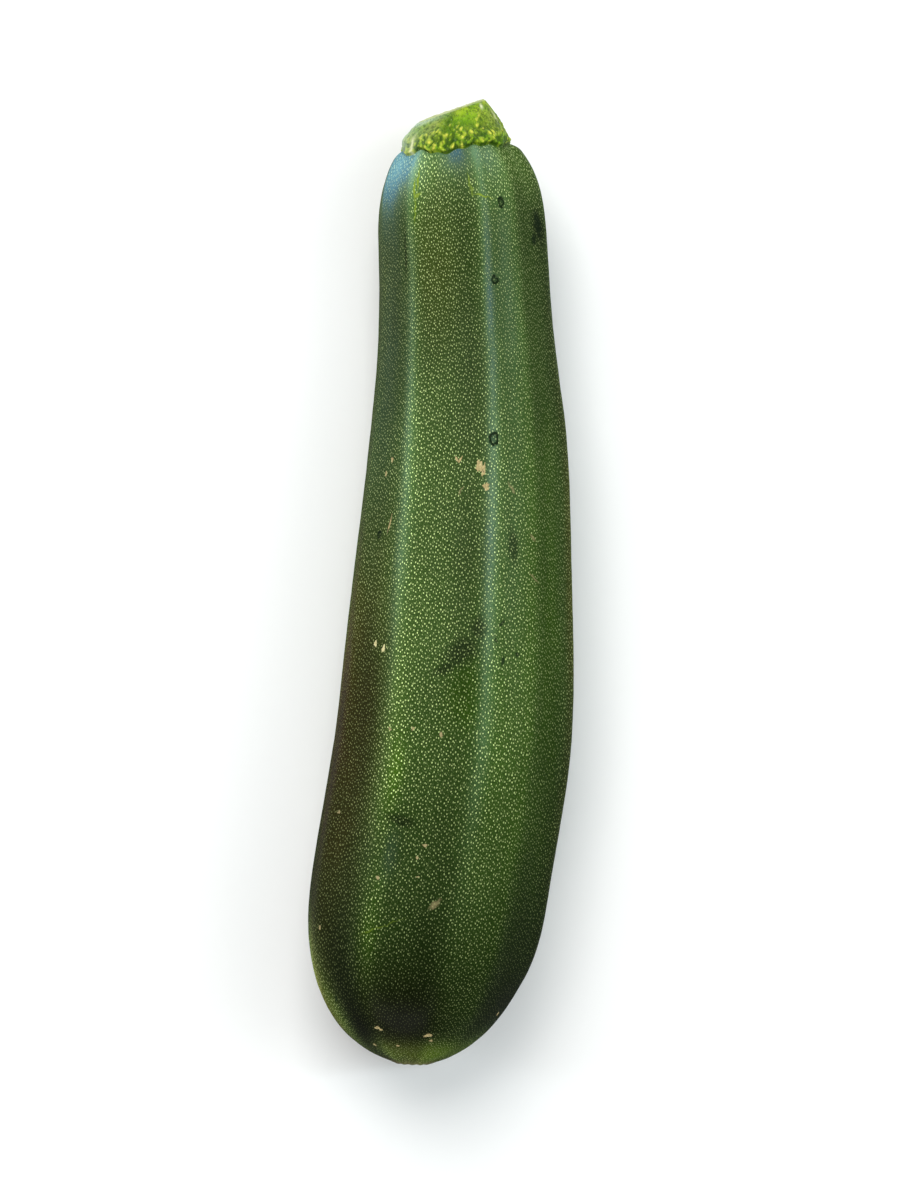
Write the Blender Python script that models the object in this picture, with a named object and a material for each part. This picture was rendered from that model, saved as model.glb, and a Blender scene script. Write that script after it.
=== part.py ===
"""A zucchini lying on its side, in two solids: the ribbed fruit, and the cut stub of its stem.

The fruit lies along Y with its stem toward +Y, and rests on a small flat spot at z = 0.
A station is a distance along Y from the tip of the blossom end. An angle round the fruit is
counted in degrees from straight up, positive toward +X. Everything is in metres.
"""

import math

import bmesh
import bpy
import numpy as np
from mathutils import Matrix, Vector
from mathutils.bvhtree import BVHTree

# Fruit: half its width along its length, before the two ends round off.
BODY_HALF_WIDTHS = (
    (0.000, 0.0316),
    (0.060, 0.0318),
    (0.085, 0.0318),
    (0.125, 0.0299),
    (0.165, 0.0269),
    (0.200, 0.0237),
    (0.222, 0.0229),
    (0.260, 0.0229),
)
# Fruit: how far its middle wanders sideways from a straight line.
BODY_BOW = (
    (0.000, -0.0100),
    (0.025, -0.0088),
    (0.050, -0.0050),
    (0.085, 0.0006),
    (0.130, 0.0035),
    (0.170, 0.0049),
    (0.210, 0.0039),
    (0.245, 0.0021),
    (0.270, 0.0005),
)
BLOSSOM_DOME_LENGTH = 0.048
BLOSSOM_DOME_POWER = 2.3
CROWN_START = 0.222
CROWN_LENGTH = 0.0326
CROWN_POWER = 2.45
CROWN_RIM_START = 0.2446
CROWN_RIM_LENGTH = 0.0040
CROWN_RIM_POWER = 3.0
SEAT_STATION = 0.2476

# Fruit: the ribs' angles at the stem end and at the blossom end, and how far out each stands.
RIBS = (
    (-163, -163, 1.000),
    (-132, -129, 0.985),
    (-102, -98, 1.000),
    (-71, -65, 0.985),
    (-38, -28, 1.000),
    (13, 14, 1.000),
    (36, 39, 0.985),
    (78, 80, 1.000),
    (122, 122, 0.985),
    (164, 164, 1.000),
)
RIB_ROUNDING = 8.0
RIB_FADE_LENGTH = 0.040

# Fruit: the flat spot that it rests on, and how the underside rises away from it.
FLAT_SPOT_DEPTH = 0.0002
REST_STATION = 0.112
UNDERSIDE_RISE = 0.22
UNDERSIDE = 0.98

# Fruit: the round scar that the blossom left at the tip.
SCAR_RADIUS = 0.0046
SCAR_DEPTH = 0.0010
SCAR_RIM = 0.0004
SCAR_CUP_WIDTH = 0.6
SCAR_RIM_WIDTH = 0.3
SCAR_RINGS = (0.40, 0.75, 1.05, 1.40)
SCAR_MARGIN = 1.85

# Stem: its foot on the crown, its ridges, and the slanted cut across its top.
SEAT_GAP = 0.0003
FOOT_OVERHANG = 0.0006
STEM_SIDE_SHIFT = -0.0006
STEM_FOOT_REACH = 0.0171
STEM_TOP_REACH = 0.0092
STEM_LEAN = 0.0030
STEM_HEIGHT = 0.0097
STEM_TAPER_POWER = 1.9
STEM_RIDGES = (
    (-124, 0.97),
    (-52, 1.00),
    (-14, 0.88),
    (50, 0.96),
    (118, 0.97),
    (176, 0.98),
)
STEM_ROUNDING = 12.0
STEM_FLUTE = 0.035
STEM_FLUTE_HALF_ANGLE = 36.0
FOOT_SWELL = 0.0006
FOOT_SWELL_HEIGHT = 0.0016
FOOT_EDGE_RADIUS = 0.0006
UNDERSIDE_FRACTIONS = (0.62, 0.76, 0.88, 1.00)
CUT_PASSES = 12
CUT_TILT_SIDE = 15.5
CUT_TILT_UP = 7.0
PITH_FRACTION = 0.72
PITH_DEPTH = 0.0005

# Fineness of the two solids.
FRUIT_AROUND = 80
BODY_RINGS = 46
CROWN_RIM_RINGS = 6
STEM_AROUND = 60
STEM_RISE_RINGS = 9
ROUNDING_SAMPLES = 9
EDGE_WEIGHT = 0.001
PROFILE_SAMPLES = 2000
SLOPE_STEP = 0.002
CUT_TOLERANCE = 0.00001

# Finish of the two solids, and the turn between faces that leaves an edge sharp.
FRUIT_GREEN = (0.035, 0.085, 0.022, 1.0)
FRUIT_ROUGHNESS = 0.35
FRUIT_SHARP_ANGLE = 40.0
STEM_GREEN = (0.240, 0.380, 0.035, 1.0)
STEM_ROUGHNESS = 0.55
STEM_SHARP_ANGLE = 50.0


def clear_scene():
    """Remove every object that the scene starts with."""
    for item in list(bpy.data.objects):
        bpy.data.objects.remove(item, do_unlink=True)


def smooth_curve(points, at):
    """Value at a position on the smooth curve through (position, value) points."""
    positions, values = np.array(points).T
    slopes = np.gradient(values, positions)
    index = int(np.clip(np.searchsorted(positions, at) - 1, 0, len(positions) - 2))
    span = positions[index + 1] - positions[index]
    t = (at - positions[index]) / span
    start = (1 + 2 * t) * (1 - t) ** 2 * values[index] + t * (1 - t) ** 2 * span * slopes[index]
    end = t * t * (3 - 2 * t) * values[index + 1] - t * t * (1 - t) * span * slopes[index + 1]
    return float(start + end)


def fade(value, length):
    """Rise smoothly from 0 at zero to 1 at the given length."""
    t = min(max(value / length, 0.0), 1.0)
    return t * t * (3 - 2 * t)


def bell(distance, width):
    """Smooth bump: 1 at no distance, fading over the width."""
    return math.exp(-((distance / width) ** 2))


def polygon_radius(angles, corners):
    """Radius, at each angle, of the straight-sided outline through (angle, radius) corners."""
    corner_angles, corner_radii = np.array(sorted(corners)).T
    wrapped = (angles - corner_angles[0]) % 360 + corner_angles[0]
    index = np.searchsorted(corner_angles, wrapped, side="right") - 1
    following = (index + 1) % len(corner_angles)
    span = np.radians((corner_angles[following] - corner_angles[index]) % 360)
    past = np.radians(wrapped - corner_angles[index])
    near, far = corner_radii[index], corner_radii[following]
    return near * far * np.sin(span) / (near * np.sin(past) + far * np.sin(span - past))


def rounded_polygon(angles, corners, rounding):
    """The same outline with its corners rounded by averaging over a small turn."""
    turns = np.linspace(-rounding, rounding, ROUNDING_SAMPLES)
    weights = np.cos(np.radians(90 * turns / rounding)) + EDGE_WEIGHT
    rows = [weight * polygon_radius(angles + turn, corners) for turn, weight in zip(turns, weights)]
    return np.sum(rows, axis=0) / weights.sum()


def angles_around(count):
    """Evenly spaced angles in degrees, once round."""
    return np.arange(count) * 360.0 / count


def fruit_section(station, angles):
    """Ribbed outline across the fruit, scaled so that half its width is 1."""
    along = station / SEAT_STATION
    corners = [(blossom + (stem - blossom) * along, out) for stem, blossom, out in RIBS]
    outline = rounded_polygon(angles, corners, RIB_ROUNDING)
    every = angles_around(FRUIT_AROUND)
    across = rounded_polygon(every, corners, RIB_ROUNDING) * np.sin(np.radians(every))
    ribbed = outline * 2 / np.ptp(across)
    return 1 + (ribbed - 1) * fade(station, RIB_FADE_LENGTH)


def end_dome(distance, power):
    """How far an end has closed: 1 where it starts to round off, 0 at its tip."""
    return math.sqrt(max(1 - max(distance, 0.0) ** power, 0.0))


def half_width(station):
    """Half the fruit's width at a station, with both ends rounded off."""
    blossom = end_dome(1 - station / BLOSSOM_DOME_LENGTH, BLOSSOM_DOME_POWER)
    crown = end_dome((station - CROWN_START) / CROWN_LENGTH, CROWN_POWER)
    rim = end_dome((station - CROWN_RIM_START) / CROWN_RIM_LENGTH, CROWN_RIM_POWER)
    return smooth_curve(BODY_HALF_WIDTHS, station) * blossom * crown * rim


def dome_station(radius):
    """Station near the blossom tip where the fruit has this half width."""
    closing = 1 - (radius / smooth_curve(BODY_HALF_WIDTHS, 0)) ** 2
    return BLOSSOM_DOME_LENGTH * (1 - closing ** (1 / BLOSSOM_DOME_POWER))


def spine(station):
    """Middle of the fruit at a station."""
    rise = UNDERSIDE_RISE * (station - REST_STATION) ** 2
    height = UNDERSIDE * smooth_curve(BODY_HALF_WIDTHS, station) + rise - FLAT_SPOT_DEPTH
    return Vector((smooth_curve(BODY_BOW, station), station, height))


def frame_at(station):
    """Axes across and along the fruit at a station: columns side, along and up, and its middle."""
    along = (spine(station + SLOPE_STEP) - spine(station - SLOPE_STEP)).normalized()
    side = along.cross(Vector((0, 0, 1))).normalized()
    up = side.cross(along)
    turn = Matrix((side, along, up)).transposed().to_4x4()
    return Matrix.Translation(spine(station)) @ turn


def fruit_ring(station, radius, sink=0.0):
    """Points of one ring of the fruit's skin, moved along the fruit by sink."""
    angles = angles_around(FRUIT_AROUND)
    reach = radius * fruit_section(station, angles)
    frame = frame_at(station)
    turns = np.radians(angles)
    places = zip(reach * np.sin(turns), reach * np.cos(turns))
    return [frame @ Vector((across, sink, up)) for across, up in places]


def stations_along(start, end, count):
    """Stations spaced evenly along the skin, which is steep where an end closes."""
    stations = np.linspace(start, end, PROFILE_SAMPLES)
    radii = np.array([half_width(station) for station in stations])
    run = np.concatenate([[0], np.cumsum(np.hypot(np.diff(stations), np.diff(radii)))])
    return np.interp(np.linspace(0, run[-1], count), run, stations)


def fruit_stations():
    """Stations of the fruit's rings, from just outside the blossom scar to the stem's seat."""
    body = stations_along(dome_station(SCAR_RADIUS * SCAR_MARGIN), CROWN_RIM_START, BODY_RINGS)
    rim = stations_along(CROWN_RIM_START, SEAT_STATION, CROWN_RIM_RINGS)
    return [*body, *rim[1:]]


def scar_sink(ratio):
    """Depth of the blossom scar at a fraction of its radius: a cup inside a low rim."""
    cup = SCAR_DEPTH * bell(ratio, SCAR_CUP_WIDTH)
    return cup - SCAR_RIM * bell(ratio - 1, SCAR_RIM_WIDTH)


def scar_rings():
    """Rings of the blossom scar, and its middle point."""
    rings = []
    for ratio in SCAR_RINGS:
        radius = ratio * SCAR_RADIUS
        rings.append(fruit_ring(dome_station(radius), radius, scar_sink(ratio)))
    return rings, frame_at(0) @ Vector((0, scar_sink(0), 0))


def loft(mesh, rings):
    """Join rings of points with a skin of four-sided faces, and return the rings of vertices."""
    loops = [[mesh.verts.new(point) for point in ring] for ring in rings]
    for lower, upper in zip(loops, loops[1:]):
        around = zip(lower, lower[1:] + lower[:1], upper[1:] + upper[:1], upper)
        for corners in around:
            mesh.faces.new(corners)
    return loops


def close_to_point(mesh, loop, point):
    """Close a ring of vertices with triangles to one point."""
    tip = mesh.verts.new(point)
    for near, far in zip(loop, loop[1:] + loop[:1]):
        mesh.faces.new((near, far, tip))


def cut_flat_spot(mesh):
    """Slice off what lies below z = 0 and close the cut with one flat face."""
    everything = mesh.verts[:] + mesh.edges[:] + mesh.faces[:]
    bmesh.ops.bisect_plane(
        mesh, geom=everything, dist=CUT_TOLERANCE, plane_co=(0, 0, 0), plane_no=(0, 0, -1), clear_outer=True
    )
    rim = [edge for edge in mesh.edges if edge.is_boundary]
    bmesh.ops.edgeloop_fill(mesh, edges=rim)


def finished_object(name, mesh, material, sharp_angle):
    """Turn a bmesh into a smoothly shaded object of one material."""
    bmesh.ops.recalc_face_normals(mesh, faces=mesh.faces[:])
    data = bpy.data.meshes.new(name)
    mesh.to_mesh(data)
    mesh.free()
    data.shade_smooth()
    data.set_sharp_from_angle(angle=math.radians(sharp_angle))
    data.materials.append(material)
    item = bpy.data.objects.new(name, data)
    bpy.context.scene.collection.objects.link(item)
    return item


def plain_material(name, colour, roughness):
    """A Principled material of one colour and roughness."""
    material = bpy.data.materials.new(name)
    material.use_nodes = True
    shader = material.node_tree.nodes["Principled BSDF"]
    shader.inputs["Base Color"].default_value = colour
    shader.inputs["Roughness"].default_value = roughness
    shader.inputs["Metallic"].default_value = 0.0
    return material


def make_fruit():
    """The fruit: blossom scar, ribbed body and flat seat for the stem, as one closed skin."""
    mesh = bmesh.new()
    scar, scar_middle = scar_rings()
    body = [fruit_ring(station, half_width(station)) for station in fruit_stations()]
    loops = loft(mesh, scar + body)
    close_to_point(mesh, loops[0], scar_middle)
    mesh.faces.new(loops[-1])
    cut_flat_spot(mesh)
    skin = plain_material("fruit_skin", FRUIT_GREEN, FRUIT_ROUGHNESS)
    return finished_object("fruit", mesh, skin, FRUIT_SHARP_ANGLE)


def crown_under(fruit, frame):
    """A function giving the height of the fruit's skin over the seat, beside the stem's axis."""
    corners = [vertex.co for vertex in fruit.data.vertices]
    skin = BVHTree.FromPolygons(corners, [face.vertices for face in fruit.data.polygons])
    down = frame.to_3x3() @ Vector((0, -1, 0))

    def height(across, up):
        hit = skin.ray_cast(frame @ Vector((across, STEM_HEIGHT, up)), down)[0]
        return (frame.inverted() @ hit).y

    return height


def stem_outline():
    """Ridged and fluted outline across the stem, with its furthest ridge near 1."""
    angles = angles_around(STEM_AROUND)
    outline = rounded_polygon(angles, STEM_RIDGES, STEM_ROUNDING)
    turns = [np.abs((angles - ridge + 180) % 360 - 180) for ridge, _ in STEM_RIDGES]
    nearest = np.minimum(np.min(turns, axis=0), STEM_FLUTE_HALF_ANGLE)
    return outline - STEM_FLUTE * np.sin(np.radians(90 * nearest / STEM_FLUTE_HALF_ANGLE)) ** 2


def stem_reach(height):
    """How far the stem's furthest ridge stands from its axis at a height over the seat."""
    narrowing = (max(height, 0.0) / STEM_HEIGHT) ** STEM_TAPER_POWER
    swell = FOOT_SWELL * bell(height - FOOT_SWELL_HEIGHT, FOOT_SWELL_HEIGHT)
    return STEM_FOOT_REACH - (STEM_FOOT_REACH - STEM_TOP_REACH) * narrowing + swell


def stem_lean(height):
    """How far the stem's axis has wandered toward +X at a height over the seat."""
    return STEM_LEAN * (max(height, 0.0) / STEM_HEIGHT) ** STEM_TAPER_POWER


def cut_height(across, up):
    """Height of the slanted cut over the seat at a place beside the stem's axis."""
    side_slope = math.tan(math.radians(CUT_TILT_SIDE))
    up_slope = math.tan(math.radians(CUT_TILT_UP))
    return STEM_HEIGHT + side_slope * across - up_slope * up


def underside_column(across, up, crown):
    """Points under the stem's foot, from near its middle to its rounded edge."""
    edge = stem_reach(0) - FOOT_EDGE_RADIUS
    column = []
    for reach in [fraction * edge for fraction in UNDERSIDE_FRACTIONS]:
        inner = reach - FOOT_OVERHANG
        highest = max(crown(reach * across, reach * up), crown(inner * across, inner * up))
        column.append((reach * across, highest + SEAT_GAP, reach * up))
    bend = math.sqrt(0.5) * FOOT_EDGE_RADIUS
    lift = column[-1][1] + FOOT_EDGE_RADIUS - bend
    column.append(((edge + bend) * across, lift, (edge + bend) * up))
    return column


def flank_column(across, up, foot):
    """Points up the stem's side from its foot, over its cut edge and onto the cut."""
    top = STEM_HEIGHT
    for _ in range(CUT_PASSES):
        reach = stem_reach(top)
        top = cut_height(reach * across + stem_lean(top), reach * up)
    column = []
    for height in np.linspace(foot, top, STEM_RISE_RINGS):
        reach = stem_reach(height)
        column.append((reach * across + stem_lean(height), height, reach * up))
    inner = PITH_FRACTION * stem_reach(top)
    place = (inner * across + stem_lean(STEM_HEIGHT), inner * up)
    column.append((place[0], cut_height(*place), place[1]))
    return column


def make_stem(fruit):
    """The stem: a swollen foot seated on the crown, ridged sides and a slanted cut."""
    frame = frame_at(SEAT_STATION) @ Matrix.Translation((STEM_SIDE_SHIFT, 0, 0))
    crown = crown_under(fruit, frame)
    turns = np.radians(angles_around(STEM_AROUND))
    columns = []
    for turn, out in zip(turns, stem_outline()):
        across, up = out * math.sin(turn), out * math.cos(turn)
        underside = underside_column(across, up, crown)
        foot = underside[-1][1] + FOOT_EDGE_RADIUS / 2
        columns.append(underside + flank_column(across, up, foot))
    rings = [[frame @ Vector(place) for place in ring] for ring in zip(*columns)]
    mesh = bmesh.new()
    loops = loft(mesh, rings)
    mesh.faces.new(loops[0])
    middle = stem_lean(STEM_HEIGHT)
    pith = frame @ Vector((middle, cut_height(middle, 0) - PITH_DEPTH, 0))
    close_to_point(mesh, loops[-1], pith)
    skin = plain_material("stem_skin", STEM_GREEN, STEM_ROUGHNESS)
    return finished_object("stem", mesh, skin, STEM_SHARP_ANGLE)


def centre_on_origin(items):
    """Slide the parts along the ground until the middle of their common box is over the origin."""
    corners = np.array([vertex.co[:] for item in items for vertex in item.data.vertices])
    middle = (corners.min(axis=0) + corners.max(axis=0)) / 2
    slide = Matrix.Translation((-middle[0], -middle[1], 0))
    for item in items:
        item.data.transform(slide)


def main():
    clear_scene()
    fruit = make_fruit()
    centre_on_origin([fruit, make_stem(fruit)])


main()
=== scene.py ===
"""Dress a zucchini that lies on its side: flecked skin, healed scars and a warty, cut stem.

The fruit lies along Y with its stem toward +Y, and rests on pale ground at z = 0. A station is
a distance along Y from the tip of the blossom end. An angle round the fruit or the stem is
counted in degrees from straight up, positive toward +X. Lengths are in metres.
"""

import math

import bpy
import numpy as np
from bpy.props import FloatProperty, FloatVectorProperty, IntProperty, PointerProperty
from mathutils import Matrix, Vector, noise
from mathutils.bvhtree import BVHTree


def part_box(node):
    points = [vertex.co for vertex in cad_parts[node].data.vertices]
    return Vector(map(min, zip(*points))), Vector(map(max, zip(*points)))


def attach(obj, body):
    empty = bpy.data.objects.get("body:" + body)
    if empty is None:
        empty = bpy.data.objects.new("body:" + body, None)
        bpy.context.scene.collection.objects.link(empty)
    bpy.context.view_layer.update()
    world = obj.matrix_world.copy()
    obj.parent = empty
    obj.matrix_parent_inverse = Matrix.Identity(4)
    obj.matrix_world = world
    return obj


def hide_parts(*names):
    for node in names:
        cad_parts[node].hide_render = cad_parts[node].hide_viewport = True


bl_info = {
    "name": "Zucchini Dresser",
    "version": (1, 0, 0),
    "blender": (4, 5, 0),
    "location": "3D View > Sidebar > Zucchini",
    "description": "Grows the skin, scars and stem of a zucchini over its plain solids",
    "category": "Object",
}

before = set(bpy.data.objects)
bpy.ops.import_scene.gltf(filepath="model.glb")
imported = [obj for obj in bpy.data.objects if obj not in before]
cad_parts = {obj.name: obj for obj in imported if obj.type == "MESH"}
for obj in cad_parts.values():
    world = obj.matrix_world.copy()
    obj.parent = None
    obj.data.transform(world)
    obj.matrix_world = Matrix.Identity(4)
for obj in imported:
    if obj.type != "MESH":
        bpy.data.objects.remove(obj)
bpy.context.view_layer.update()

# Fruit: half its width along its length, before the two ends round off.
BODY_HALF_WIDTHS = (
    (0.000, 0.0316),
    (0.060, 0.0318),
    (0.085, 0.0318),
    (0.125, 0.0299),
    (0.165, 0.0269),
    (0.200, 0.0237),
    (0.222, 0.0229),
    (0.260, 0.0229),
)
# Fruit: how far its middle wanders sideways from a straight line.
BODY_BOW = (
    (0.000, -0.0100),
    (0.025, -0.0088),
    (0.050, -0.0050),
    (0.085, 0.0006),
    (0.130, 0.0035),
    (0.170, 0.0049),
    (0.210, 0.0039),
    (0.245, 0.0021),
    (0.270, 0.0005),
)
BLOSSOM_DOME_LENGTH = 0.048
BLOSSOM_DOME_POWER = 2.3
CROWN_START = 0.222
CROWN_LENGTH = 0.0326
CROWN_POWER = 2.45
CROWN_RIM_START = 0.2446
CROWN_RIM_LENGTH = 0.0040
CROWN_RIM_POWER = 3.0
SEAT_STATION = 0.2476

# Fruit: the ribs' angles at the stem end and at the blossom end, and how far out each stands.
RIBS = (
    (-163, -163, 1.000),
    (-132, -129, 0.985),
    (-102, -98, 1.000),
    (-71, -65, 0.985),
    (-38, -28, 1.000),
    (13, 14, 1.000),
    (36, 39, 0.985),
    (78, 80, 1.000),
    (122, 122, 0.985),
    (164, 164, 1.000),
)
RIB_ROUNDING = 8.0
RIB_FADE_LENGTH = 0.040
SECTION_SAMPLES = 80
FLAT_SPOT_DEPTH = 0.0002
REST_STATION = 0.112
UNDERSIDE_RISE = 0.22
UNDERSIDE = 0.98
SLOPE_STEP = 0.002
ROUNDING_SAMPLES = 9
EDGE_WEIGHT = 0.001

# Fruit: the round scar that the blossom left at the tip.
SCAR_RADIUS = 0.0046
SCAR_DEPTH = 0.0010
SCAR_RIM = 0.0004
SCAR_CUP_WIDTH = 0.6
SCAR_RIM_WIDTH = 0.3
SCAR_MARGIN = 1.85

# Fruit: ripples in its skin, each with its size, share of the height and stretch, and the creases
# beside the stem and round the scar.
RIPPLES = (
    (0.0160, 1.00, 3.0),
    (0.0060, 0.35, 1.6),
    (0.0026, 0.12, 1.4),
)
PUCKER_WANDER = (0.012, 1.6)
STEM_PUCKERS = 21
STEM_PUCKER_REACH = 0.0150
STEM_PUCKER_SINK = 0.4
SCAR_PUCKERS = 13
SCAR_PUCKER_SHARE = 0.8
SCAR_PUCKER_END = 0.02

# Fruit: fineness of its skin.
FRUIT_AROUND = 300
SCAR_ROWS = 22
BODY_ROWS = 268
CROWN_RIM_ROWS = 18
PROFILE_SAMPLES = 4000
SKIN_MAP_RADIUS = 0.032
CROWN_STRETCH = 0.8
CROWN_STRETCH_LENGTH = 0.013

# Stem: its foot on the crown, its ridges, and the slanted cut across its top.
STEM_SIDE_SHIFT = -0.0006
STEM_FOOT_REACH = 0.0171
STEM_TOP_REACH = 0.0092
STEM_LEAN = 0.0030
STEM_HEIGHT = 0.0097
STEM_TAPER_POWER = 1.9
STEM_RIDGES = (
    (-124, 0.97),
    (-52, 1.00),
    (-14, 0.88),
    (50, 0.96),
    (118, 0.97),
    (176, 0.98),
)
STEM_ROUNDING = 12.0
STEM_FLUTE = 0.035
STEM_FLUTE_HALF_ANGLE = 36.0
FOOT_SWELL = 0.0006
FOOT_SWELL_HEIGHT = 0.0016
FOOT_EDGE_RADIUS = 0.0006
CUT_PASSES = 12
CUT_TILT_SIDE = 15.5
CUT_TILT_UP = 7.0
PITH_FRACTION = 0.72
PITH_DEPTH = 0.0005
CUT_LIP = 0.00025
BUNDLES = 16
BUNDLE_HEIGHT = 0.00016
BUNDLE_SHARE = 0.80
FIBRE_HEIGHT = 0.00012

# Stem: sizes of its large and small warts as shares of the largest, how they spread up the flank,
# how much further the small ones go, each kind's share of the height, and how much the first lime
# patch and the patches of painted sky glint smooth them.
WART_SIZES = (0.6, 1.0)
BEAD_SIZES = (0.3, 0.5)
WART_SPREAD = (1.0, 2.2)
BEAD_SPREAD = (1.0, 1.5)
BEAD_LEVEL = 1.15
WART_SHARE = 0.6
BEAD_SHARE = 0.4
LIME_SMOOTHING = 0.85
GLINT_SMOOTHING = 0.6
# Stem: streaks round it, each with its spacing in degrees and its seed.
FLANK_STREAKS = ((14.0, 3.0), (4.0, 8.0), (1.6, 15.0))
FRINGE_STREAKS = (11.0, 20.0)
RAY_STREAKS = (5.0, 40.0)
# Stem: height over its foot where the fringe is fullest.
FRINGE_LEVEL = 0.0012

# Stem: how far its foot spreads over the crown, as angle, half turn and reach of each lobe.
FOOT_LOBES = (
    (16.0, 28.0, 0.0055),
    (-34.0, 19.0, 0.0020),
)
LOBE_RISE = 0.35
# Stem: soft patches of its flank: share of its height and angle, then half height, half turn and
# strength. The first table says where a painted bluish sky glint lies on its facets.
GLINT_PATCHES = (
    (0.45, -74.0, 0.50, 24.0, 1.00),
    (0.92, -50.0, 0.10, 22.0, 0.60),
)
# Where its edges are pale.
PALE_EDGE_PATCHES = (
    (0.20, -42.0, 0.26, 1.8, 1.30),
    (0.87, 37.0, 0.06, 2.2, 1.20),
    (0.62, 52.0, 0.14, 1.0, 0.60),
    (0.75, 122.0, 0.40, 3.0, 0.80),
)
# Where it is olive.
OLIVE_PATCHES = (
    (0.55, 64.0, 0.42, 22.0, 1.10),
    (0.64, -28.0, 0.34, 11.0, 0.80),
    (0.60, 140.0, 0.45, 30.0, 0.70),
)
# Where it is lime green and smooth.
LIME_PATCHES = (
    (0.10, 54.0, 0.14, 13.0, 1.00),
    (0.66, 8.0, 0.22, 18.0, 0.60),
    (0.10, -120.0, 0.16, 16.0, 0.60),
)
# Where it is dark.
SHADE_PATCHES = (
    (0.72, -11.0, 0.34, 4.5, 0.80),
    (0.50, 2.0, 0.20, 4.0, 0.45),
    (0.40, 31.0, 0.22, 4.0, 0.55),
    (0.16, -2.0, 0.10, 5.0, 0.50),
    (0.00, 0.0, 0.05, 90.0, 0.50),
)

# Stem: fineness of its surface.
STEM_AROUND = 480
UNDERSIDE_ROWS = 8
FLANK_ROWS = 104
CUT_ROWS = 26

# Fruit: how light its skin is painted along its length, as a share of its middle's lightness: painted
# shade darkens the blossom end, which gets less light, over its own darker green there.
LENGTH_SHADING = (
    (0.000, 0.10),
    (0.010, 0.14),
    (0.020, 0.23),
    (0.035, 0.43),
    (0.055, 0.76),
    (0.080, 1.02),
    (0.130, 1.10),
    (0.155, 1.12),
    (0.180, 0.94),
    (0.205, 0.88),
    (0.225, 1.00),
    (0.238, 1.35),
    (0.250, 1.40),
)
# Fruit: painted light and shade round its girth, each rib facet lighter or darker as the light falls
# on it, on the stem's half and on the blossom's half.
STEM_HALF_SHADING = (
    (-180, 0.72),
    (-120, 0.72),
    (-64, 0.74),
    (-50, 0.80),
    (-41, 0.92),
    (-33, 1.12),
    (-20, 1.10),
    (-8, 0.95),
    (2, 0.78),
    (9, 0.90),
    (16, 1.12),
    (24, 1.20),
    (32, 1.24),
    (38, 1.00),
    (45, 0.74),
    (56, 0.76),
    (75, 0.66),
    (120, 0.70),
    (180, 0.72),
)
BLOSSOM_HALF_SHADING = (
    (-180, 0.55),
    (-120, 0.50),
    (-64, 0.42),
    (-52, 0.50),
    (-42, 0.62),
    (-34, 1.05),
    (-27, 1.25),
    (-20, 1.05),
    (-8, 0.85),
    (7, 0.78),
    (14, 1.00),
    (20, 1.15),
    (28, 1.12),
    (38, 0.95),
    (46, 0.65),
    (58, 0.52),
    (75, 0.45),
    (120, 0.50),
    (180, 0.55),
)
# Fruit: where the two halves' painted shading starts to blend, and over what length.
HALVES_MEET = (0.070, 0.060)
# Fruit: how much lighter a rib's crest is painted, as a painted highlight, the part of that shown at the
# tip, the start and length of its rise along the fruit, its half turns on its two sides, and the share
# of it on a weak rib.
CREST_HIGHLIGHT = 0.55
CREST_AT_TIP = 0.2
CREST_FADE = (0.045, 0.090)
CREST_WIDTHS = (2.6, 4.6)
WEAK_CREST = 0.30
# Fruit: how far from the stem its ribs are bare of flecks, the angle where its bare belly starts and
# how soft that start is, and how far along the stain of the blossom scar goes.
BARE_BESIDE_STEM = 0.022
BELLY_START = 166.0
BELLY_LENGTH = 10.0
SCAR_STAIN_END = 0.03

# Soft patches of the skin: station and angle, then half length, half turn and strength. The first
# table says where the skin is painted lighter or darker, by how great a share: a painted lit rim round
# the blossom end, a painted bright shoulder beside the stem, painted shade on the left flank, and
# smaller lighter and darker patches.
LIGHT_AND_SHADE_PATCHES = (
    (0.0160, -84.0, 0.0120, 16.0, 30.0),
    (0.0110, -64.0, 0.0070, 10.0, 14.0),
    (0.0030, 20.0, 0.0036, 60.0, 15.0),
    (0.0040, 72.0, 0.0060, 24.0, 8.00),
    (0.0780, -25.5, 0.0080, 3.5, 0.40),
    (0.0350, -26.0, 0.0080, 4.0, 0.40),
    (0.0480, -24.0, 0.0040, 3.0, 0.30),
    (0.0450, -62.0, 0.0140, 12.0, 0.35),
    (0.1050, -56.0, 0.0260, 12.0, -0.28),
    (0.2050, -62.0, 0.0300, 14.0, 0.32),
    (0.1900, -38.0, 0.0300, 4.0, 0.28),
    (0.1950, 32.0, 0.0380, 22.0, 0.24),
    (0.1500, 48.0, 0.1100, 28.0, 0.14),
    (0.0900, -76.0, 0.0400, 9.0, -0.35),
    (0.1400, 14.0, 0.0500, 5.0, 0.12),
    (0.1550, -36.0, 0.0350, 5.0, 0.16),
    (0.0120, 34.0, 0.0100, 18.0, 0.80),
    (0.2430, -58.0, 0.0074, 24.0, 2.90),
    (0.2360, -64.0, 0.0090, 14.0, 0.90),
    (0.2450, 0.0, 0.0080, 24.0, 0.60),
    (0.2420, 60.0, 0.0080, 24.0, 0.45),
    (0.2060, -52.0, 0.0160, 6.0, -0.20),
    (0.1020, 2.0, 0.0070, 9.0, -0.20),
    (0.0620, -22.0, 0.0130, 12.0, -0.22),
    (0.0330, 4.0, 0.0120, 12.0, -0.12),
    (0.0960, -50.0, 0.0200, 12.0, -0.25),
    (0.0100, -40.0, 0.0080, 10.0, -0.50),
    (0.0150, -8.0, 0.0090, 22.0, -0.42),
)
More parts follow.
